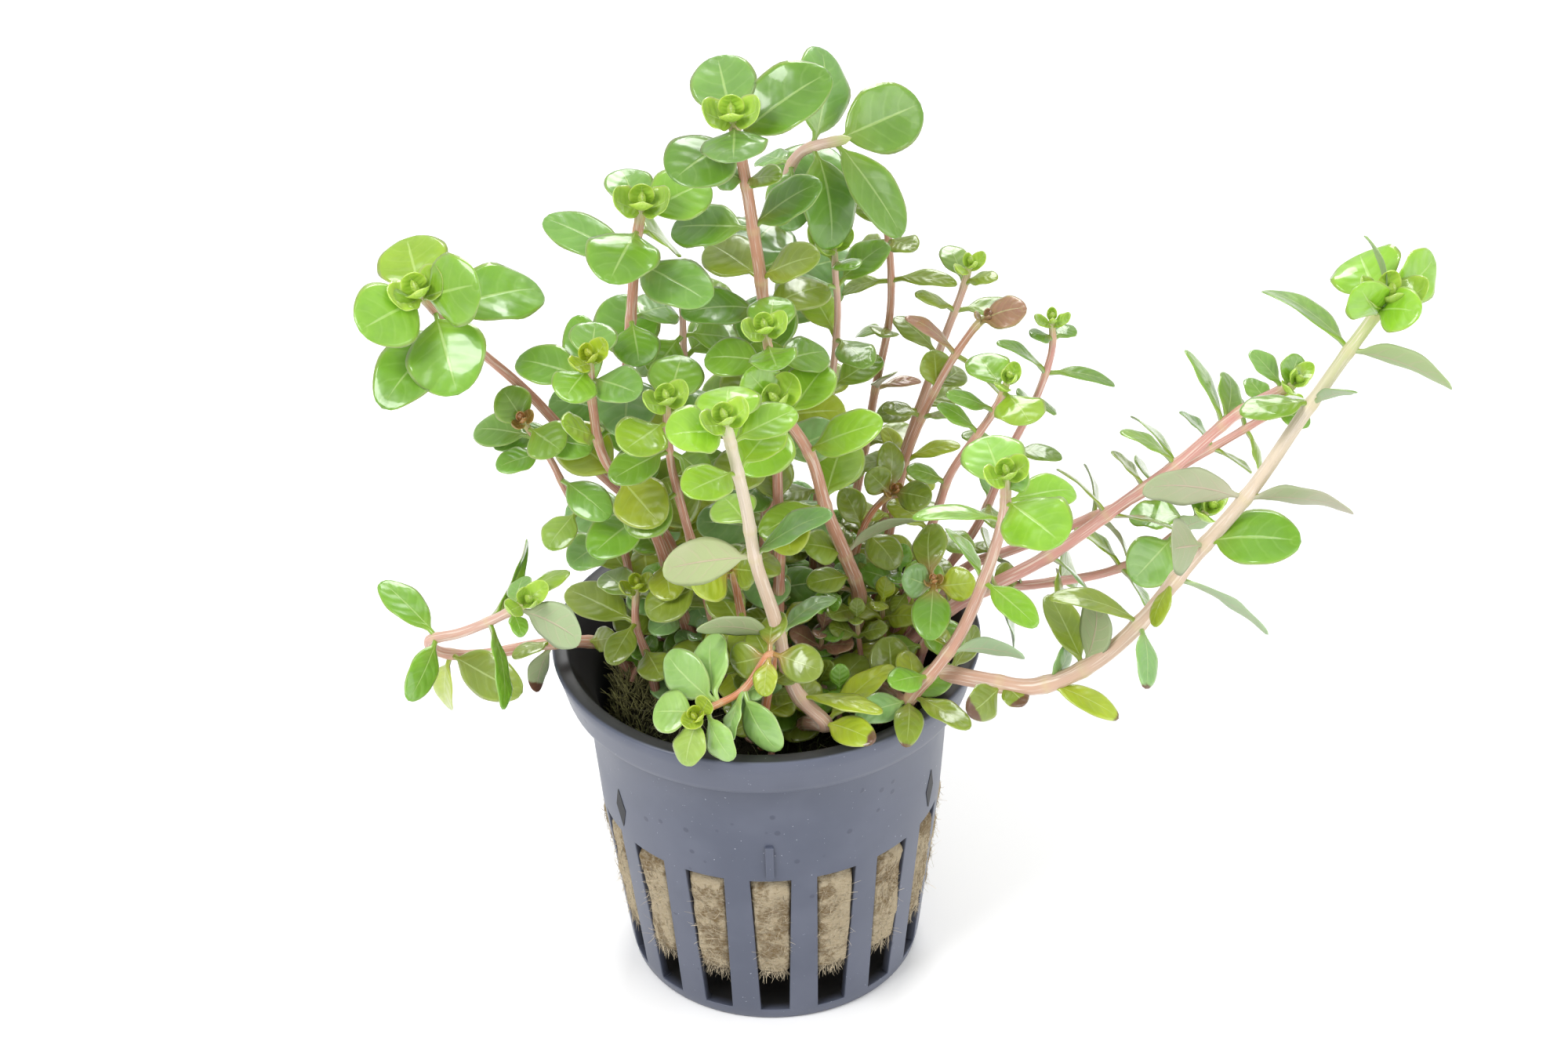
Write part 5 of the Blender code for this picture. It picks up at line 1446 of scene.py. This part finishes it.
def give(tree, node, socket, value):
    """Link an output to a node's input, or set the input to a plain value."""
    if isinstance(value, bpy.types.NodeSocket):
        tree.links.new(value, node.inputs[socket])
    else:
        node.inputs[socket].default_value = value


def add_node(tree, kind, inputs=None, **settings):
    """A node with its settings; inputs maps a socket's name or number to a value or an output."""
    node = tree.nodes.new(kind)
    for name, value in settings.items():
        setattr(node, name, value)
    for socket, value in (inputs or {}).items():
        give(tree, node, socket, value)
    return node


def math_node(tree, operation, a, b=0.0, c=0.0):
    return add_node(tree, "ShaderNodeMath", {0: a, 1: b, 2: c}, operation=operation).outputs[0]


def times(tree, a, b):
    return math_node(tree, "MULTIPLY", a, b)


def mix_colour(tree, factor, a, b, blend="MIX"):
    node = add_node(tree, "ShaderNodeMix", data_type="RGBA", blend_type=blend)
    for socket, value in ((0, factor), (6, a), (7, b)):
        give(tree, node, socket, value)
    return node.outputs[2]


def cover(tree, colour, mask, strength, tone):
    """The colour under a tone, as far as the mask times the strength says."""
    return mix_colour(tree, times(tree, mask, strength), colour, tone)


def map_range(tree, value, low, high, to_low=0.0, to_high=1.0):
    node = add_node(tree, "ShaderNodeMapRange", {
        "Value": value, "From Min": low, "From Max": high, "To Min": to_low, "To Max": to_high})
    node.interpolation_type = "SMOOTHSTEP"
    return node.outputs["Result"]


def noise(tree, place, scale, detail=3.0, rough=0.55):
    node = add_node(tree, "ShaderNodeTexNoise", {
        "Vector": place, "Scale": scale, "Detail": detail, "Roughness": rough})
    return node.outputs["Fac"]


def bump(tree, height, distance, strength=1.0):
    node = add_node(tree, "ShaderNodeBump", {
        "Height": height, "Distance": distance, "Strength": strength})
    return node.outputs["Normal"]


def separate(tree, vector, axis):
    return add_node(tree, "ShaderNodeSeparateXYZ", {0: vector}).outputs[axis]


def stretched(tree, vector, scale):
    return add_node(tree, "ShaderNodeMapping", {"Vector": vector, "Scale": scale}).outputs[0]


def object_place(tree):
    return add_node(tree, "ShaderNodeTexCoord").outputs["Object"]


def surface_place(tree):
    return add_node(tree, "ShaderNodeUVMap", uv_map="surface").outputs[0]


def tone_of(tree):
    """The piece's own tone: its colour and its alpha."""
    tone = add_node(tree, "ShaderNodeAttribute", attribute_name="tone")
    return tone.outputs["Color"], tone.outputs["Alpha"]


def finish(tree, shader, colour, height=None, distance=0.0, strength=1.0):
    """Link the colour, and the bump from a height if there is one."""
    tree.links.new(colour, shader.inputs["Base Color"])
    if height:
        tree.links.new(bump(tree, height, distance, strength), shader.inputs["Normal"])


# %% Leaf veins as a node group
VEIN_OUTPUTS = ("Midrib", "Side veins", "Margin", "Height")


def vein_group():
    """Masks from a leaf's UV map: the midrib, side veins that curve to the tip, and the margin.

    A side vein is a line of constant along minus a part of the distance from the midrib. The
    fraction of that number times the count of veins gives one narrow line for each vein.
    """
    tree = bpy.data.node_groups.new("leaf veins", "ShaderNodeTree")
    tree.interface.new_socket(name="Surface", in_out="INPUT", socket_type="NodeSocketVector")
    tree.interface.new_socket(name="Veins", in_out="INPUT", socket_type="NodeSocketFloat")
    for name in VEIN_OUTPUTS:
        tree.interface.new_socket(name=name, in_out="OUTPUT", socket_type="NodeSocketFloat")
    given, out = tree.nodes.new("NodeGroupInput"), tree.nodes.new("NodeGroupOutput")
    along, across = (separate(tree, given.outputs["Surface"], axis) for axis in (0, 1))
    off = math_node(tree, "ABSOLUTE", math_node(tree, "MULTIPLY_ADD", across, 2.0, -1.0))
    thin = math_node(tree, "MULTIPLY_ADD", along, -0.035, 0.055)
    from_rib = map_range(tree, math_node(tree, "DIVIDE", off, thin), 0.5, 1.6)
    midrib = math_node(tree, "SUBTRACT", 1.0, from_rib)
    midrib = times(tree, midrib, map_range(tree, along, 1.0, 0.75))
    wobble = noise(tree, given.outputs["Surface"], 6.0, 1.0)
    slant = math_node(tree, "POWER", off, 1.35)
    line = math_node(tree, "MULTIPLY_ADD", slant, -0.24, along)
    line = math_node(tree, "MULTIPLY_ADD", wobble, 0.05, line)
    line = math_node(tree, "FRACT", times(tree, line, given.outputs["Veins"]))
    line = math_node(tree, "ABSOLUTE", math_node(tree, "SUBTRACT", line, 0.5))
    inside = times(tree, map_range(tree, off, 0.95, 0.55), map_range(tree, along, 0.12, 0.25))
    side = math_node(tree, "SUBTRACT", 1.0, map_range(tree, line, 0.02, 0.13))
    side = times(tree, side, inside)
    margin = map_range(tree, off, 0.90, 0.99)
    quilt = times(tree, map_range(tree, line, 0.0, 0.5), inside)
    height = math_node(tree, "MULTIPLY_ADD", midrib, -0.9, quilt)
    for name, value in zip(VEIN_OUTPUTS, (midrib, side, margin, height)):
        tree.links.new(value, out.inputs[name])
    return tree


VEINS = vein_group()
VEIN_COUNT = 6.0


def use_veins(tree):
    """The vein masks on a leaf, and the surface coordinates that they use."""
    surface = surface_place(tree)
    group = tree.nodes.new("ShaderNodeGroup")
    group.node_tree = VEINS
    give(tree, group, "Veins", VEIN_COUNT)
    give(tree, group, "Surface", surface)
    return group.outputs, surface


def wither(tree, colour, surface, here, amount):
    """Brown from the leaf's tip inwards, as far as the amount says, with a ragged border."""
    ragged = math_node(tree, "MULTIPLY_ADD", noise(tree, here, 700.0, 2.0), 0.12, -0.06)
    past = math_node(tree, "ADD", separate(tree, surface, 0), amount)
    past = math_node(tree, "ADD", past, ragged)
    worn = map_range(tree, past, 1.0, 1.05)
    return cover(tree, colour, worn, map_range(tree, amount, 0.01, 0.05), (0.13, 0.055, 0.025, 1))


# %% [markdown]
# ### Leaf tops
#
# A leaf's upper side is smooth and waxy, so it shines with soft white highlights. The blade is
# quilted between the veins, the midrib and the edge are paler, and the green is mottled.

# %% Leaf top


def leaf_top_look():
    made, tree, shader = new_material(
        "leaf top", 0.34, Specular_IOR_Level=0.5, Coat_Roughness=0.09, Coat_Weight=0.8,
        Subsurface_Weight=0.25, Subsurface_Scale=0.0012, Subsurface_Radius=(0.7, 1.0, 0.2))
    veins, surface = use_veins(tree)
    own, worn = tone_of(tree)
    here = object_place(tree)
    mottle = map_range(tree, noise(tree, here, 260.0, 4.0, 0.6), 0.3, 0.7)
    colour = mix_colour(tree, 1.0, own, (0.80, 0.84, 0.76, 1), "MULTIPLY")
    colour = mix_colour(tree, mottle, colour, own)
    pale = mix_colour(tree, 0.5, own, (0.66, 0.80, 0.34, 1))
    for mask, strength in (("Side veins", 0.10), ("Midrib", 0.6), ("Margin", 0.45)):
        colour = cover(tree, colour, veins[mask], strength, pale)
    colour = wither(tree, colour, surface, here, worn)
    swell = noise(tree, here, 400.0, 1.0)
    height = math_node(tree, "MULTIPLY_ADD", swell, 1.6, times(tree, veins["Height"], 0.3))
    finish(tree, shader, colour, height, 0.00026, 0.6)
    return made


# %% [markdown]
# ### Leaf undersides
#
# The underside is pale, grey-green and matter, and its midrib and veins are tinged with pink.

# %% Leaf underside


def leaf_under_look():
    made, tree, shader = new_material("leaf underside", 0.5, Specular_IOR_Level=0.4)
    veins, surface = use_veins(tree)
    own, worn = tone_of(tree)
    here = object_place(tree)
    colour = mix_colour(tree, 0.55, own, (0.44, 0.52, 0.38, 1))
    blush = map_range(tree, noise(tree, here, 45.0, 2.0), 0.42, 0.72, 0.0, 0.55)
    colour = mix_colour(tree, blush, colour, (0.56, 0.46, 0.42, 1))
    vein = math_node(tree, "MAXIMUM", times(tree, veins["Side veins"], 0.3), veins["Midrib"])
    colour = cover(tree, colour, vein, 0.5, (0.62, 0.42, 0.36, 1))
    colour = wither(tree, colour, surface, here, worn)
    finish(tree, shader, colour, vein, 0.00012, 0.6)
    return made


# %% [markdown]
# ### Stems
#
# The stems are salmon pink with pale streaks along them, and each node has a dull yellow band.

# %% Stem


def stem_look():
    made, tree, shader = new_material("stem skin", 0.42, Specular_IOR_Level=0.5)
    own, band = tone_of(tree)
    drawn = stretched(tree, surface_place(tree), (22.0, 1.3, 1.0))
    streak = map_range(tree, noise(tree, drawn, 1.0, 3.0, 0.6), 0.50, 0.62)
    pale = mix_colour(tree, 0.7, own, (0.92, 0.80, 0.70, 1))
    colour = cover(tree, own, streak, 0.8, pale)
    colour = cover(tree, colour, band, 0.4, (0.66, 0.56, 0.30, 1))
    finish(tree, shader, colour, streak, 0.00008, 0.5)
    return made


# %% [markdown]
# ### Pot plastic
#
# The pot is dark blue-grey moulded plastic with a satin shine, fine dust and dried drops. Its
# inside and the top of its rim carry painted shade in their tones, and are nearly black.

# %% Pot plastic


def pot_look():
    made, tree, shader = new_material("pot plastic", 0.38, Specular_IOR_Level=0.5)
    here = object_place(tree)
    # The tone carries painted shade: near black inside the pot and dark on the rim's top
    own, outside = tone_of(tree)
    cloud = map_range(tree, noise(tree, here, 90.0, 3.0), 0.35, 0.7)
    lighter = mix_colour(tree, 1.0, own, (1.28, 1.25, 1.2, 1), "MULTIPLY")
    colour = mix_colour(tree, cloud, own, lighter)
    cells = add_node(tree, "ShaderNodeTexVoronoi", {"Vector": here, "Scale": 330.0})
    drop = map_range(tree, cells.outputs["Distance"], 0.10, 0.16, 1.0, 0.0)
    few = math_node(tree, "GREATER_THAN", noise(tree, here, 60.0, 1.0), 0.52)
    drop = times(tree, times(tree, drop, few), outside)
    dust = times(tree, map_range(tree, noise(tree, here, 2600.0, 1.0), 0.755, 0.80), outside)
    colour = cover(tree, colour, drop, 0.6, (0.045, 0.052, 0.085, 1))
    colour = cover(tree, colour, dust, 0.7, (0.42, 0.44, 0.50, 1))
    rough = math_node(tree, "MULTIPLY_ADD", cloud, 0.10, 0.54)
    give(tree, shader, "Roughness", math_node(tree, "MULTIPLY_ADD", outside, -0.2, rough))
    height = math_node(tree, "MULTIPLY_ADD", drop, 0.6, times(tree, cloud, 0.5))
    finish(tree, shader, colour, height, 0.00006, 0.5)
    return made


# %% [markdown]
# ### Wool, fibres and moss
#
# Mineral wool is matt and fibrous, tan where it is dry and brown where algae and damp have
# stained it. Towards the top it turns dark. Moss and fibres take their own tones.

# %% Wool, fibres and moss


def wool_look():
    made, tree, shader = new_material("mineral wool", 0.95, Specular_IOR_Level=0.15)
    here = object_place(tree)
    patch = map_range(tree, noise(tree, here, 150.0, 6.0, 0.75), 0.47, 0.57)
    strand = noise(tree, stretched(tree, here, (1.0, 1.0, 2.2)), 1500.0, 5.0, 0.7)
    colour = mix_colour(tree, patch, (0.60, 0.49, 0.32, 1), (0.25, 0.17, 0.08, 1))
    colour = cover(tree, colour, map_range(tree, strand, 0.35, 0.7), 0.4, (0.78, 0.70, 0.54, 1))
    high = map_range(tree, separate(tree, here, 2), 0.0280, 0.0370)
    colour = mix_colour(tree, high, colour, (0.018, 0.016, 0.008, 1))
    lumpy = math_node(tree, "MULTIPLY_ADD", noise(tree, here, 420.0, 4.0, 0.6), 2.0, strand)
    finish(tree, shader, colour, lumpy, 0.0008, 1.0)
    return made


def toned_look(name, roughness):
    """A matt finish that takes each strand's own tone, a little darker towards its foot."""
    made, tree, shader = new_material(name, roughness, Specular_IOR_Level=0.2)
    own = tone_of(tree)[0]
    dark = mix_colour(tree, 1.0, own, (0.5, 0.5, 0.5, 1), "MULTIPLY")
    towards_tip = map_range(tree, separate(tree, surface_place(tree), 1), 0.0, 0.7)
    finish(tree, shader, mix_colour(tree, towards_tip, dark, own))
    return made


# %% [markdown]
# ## Making the pieces

# %% Pot, plug, fibres and moss
settle(make_pot(pot_look()), "pot_plastic", "net_pot")
settle(make_plug(wool_look()), "rock_wool", "rock_wool")
settle(make_fibres(toned_look("wool fibre", 0.8)), "rock_wool")
settle(make_moss(toned_look("moss", 0.8)), "rock_wool")

# %% All the shoots
shoot_looks = [leaf_top_look(), leaf_under_look(), stem_look()]
for seed, (name, shoot) in enumerate(SHOOTS.items(), start=40):
    settle(grow(name, shoot, seed, shoot_looks), "shoot_" + shoot.tint, name)
settle(make_sprouts(shoot_looks), "shoot_olive")

# %% [markdown]
# ## Floor and light
#
# A studio picture on a white sweep: a plain pale floor, one broad soft light high on the left,
# a weaker one on the right, one from behind and a bright even surround.

# %% Floor
FLOOR_HALF = 3.0


def add_floor():
    made, tree, shader = new_material("studio floor", 0.9, Specular_IOR_Level=0.1)
    cloud = noise(tree, object_place(tree), 3.0, 2.0)
    finish(tree, shader, mix_colour(tree, cloud, (0.95, 0.95, 0.95, 1), (0.97, 0.97, 0.97, 1)))
    mesh = bpy.data.meshes.new("studio_floor")
    corners = [(x * FLOOR_HALF, y * FLOOR_HALF, 0) for x, y in ((-1, -1), (1, -1), (1, 1), (-1, 1))]
    mesh.from_pydata(corners, [], [(0, 1, 2, 3)])
    mesh.materials.append(made)
    floor = add_object("studio_floor", mesh)


add_floor()

# %% Lights and surround


MIDDLE = Vector((0.01, 0.0, 0.07))
SURROUND_STRENGTH = 0.66


def add_light(name, place, size, power):
    """A square area light at a place in metres that faces the part's middle."""
    data = bpy.data.lights.new(name, "AREA")
    data.shape = "SQUARE"
    data.size = size
    data.energy = power
    light = add_object(name, data)
    turn = (MIDDLE - Vector(place)).to_track_quat("-Z", "Y").to_matrix().to_4x4()
    light.matrix_world = Matrix.Translation(place) @ turn


add_light("key", (-0.35, -0.30, 0.60), 0.32, 3.2)
add_light("fill", (0.50, -0.35, 0.40), 0.60, 2.2)
add_light("back", (0.10, 0.55, 0.55), 0.32, 2.6)

surround = bpy.data.worlds.new("studio")
surround.use_nodes = True
background = surround.node_tree.nodes["Background"]
background.inputs["Color"].default_value = (1.0, 1.0, 1.0, 1.0)
background.inputs["Strength"].default_value = SURROUND_STRENGTH
bpy.context.scene.world = surround
bpy.context.scene.view_settings.view_transform = "Standard"
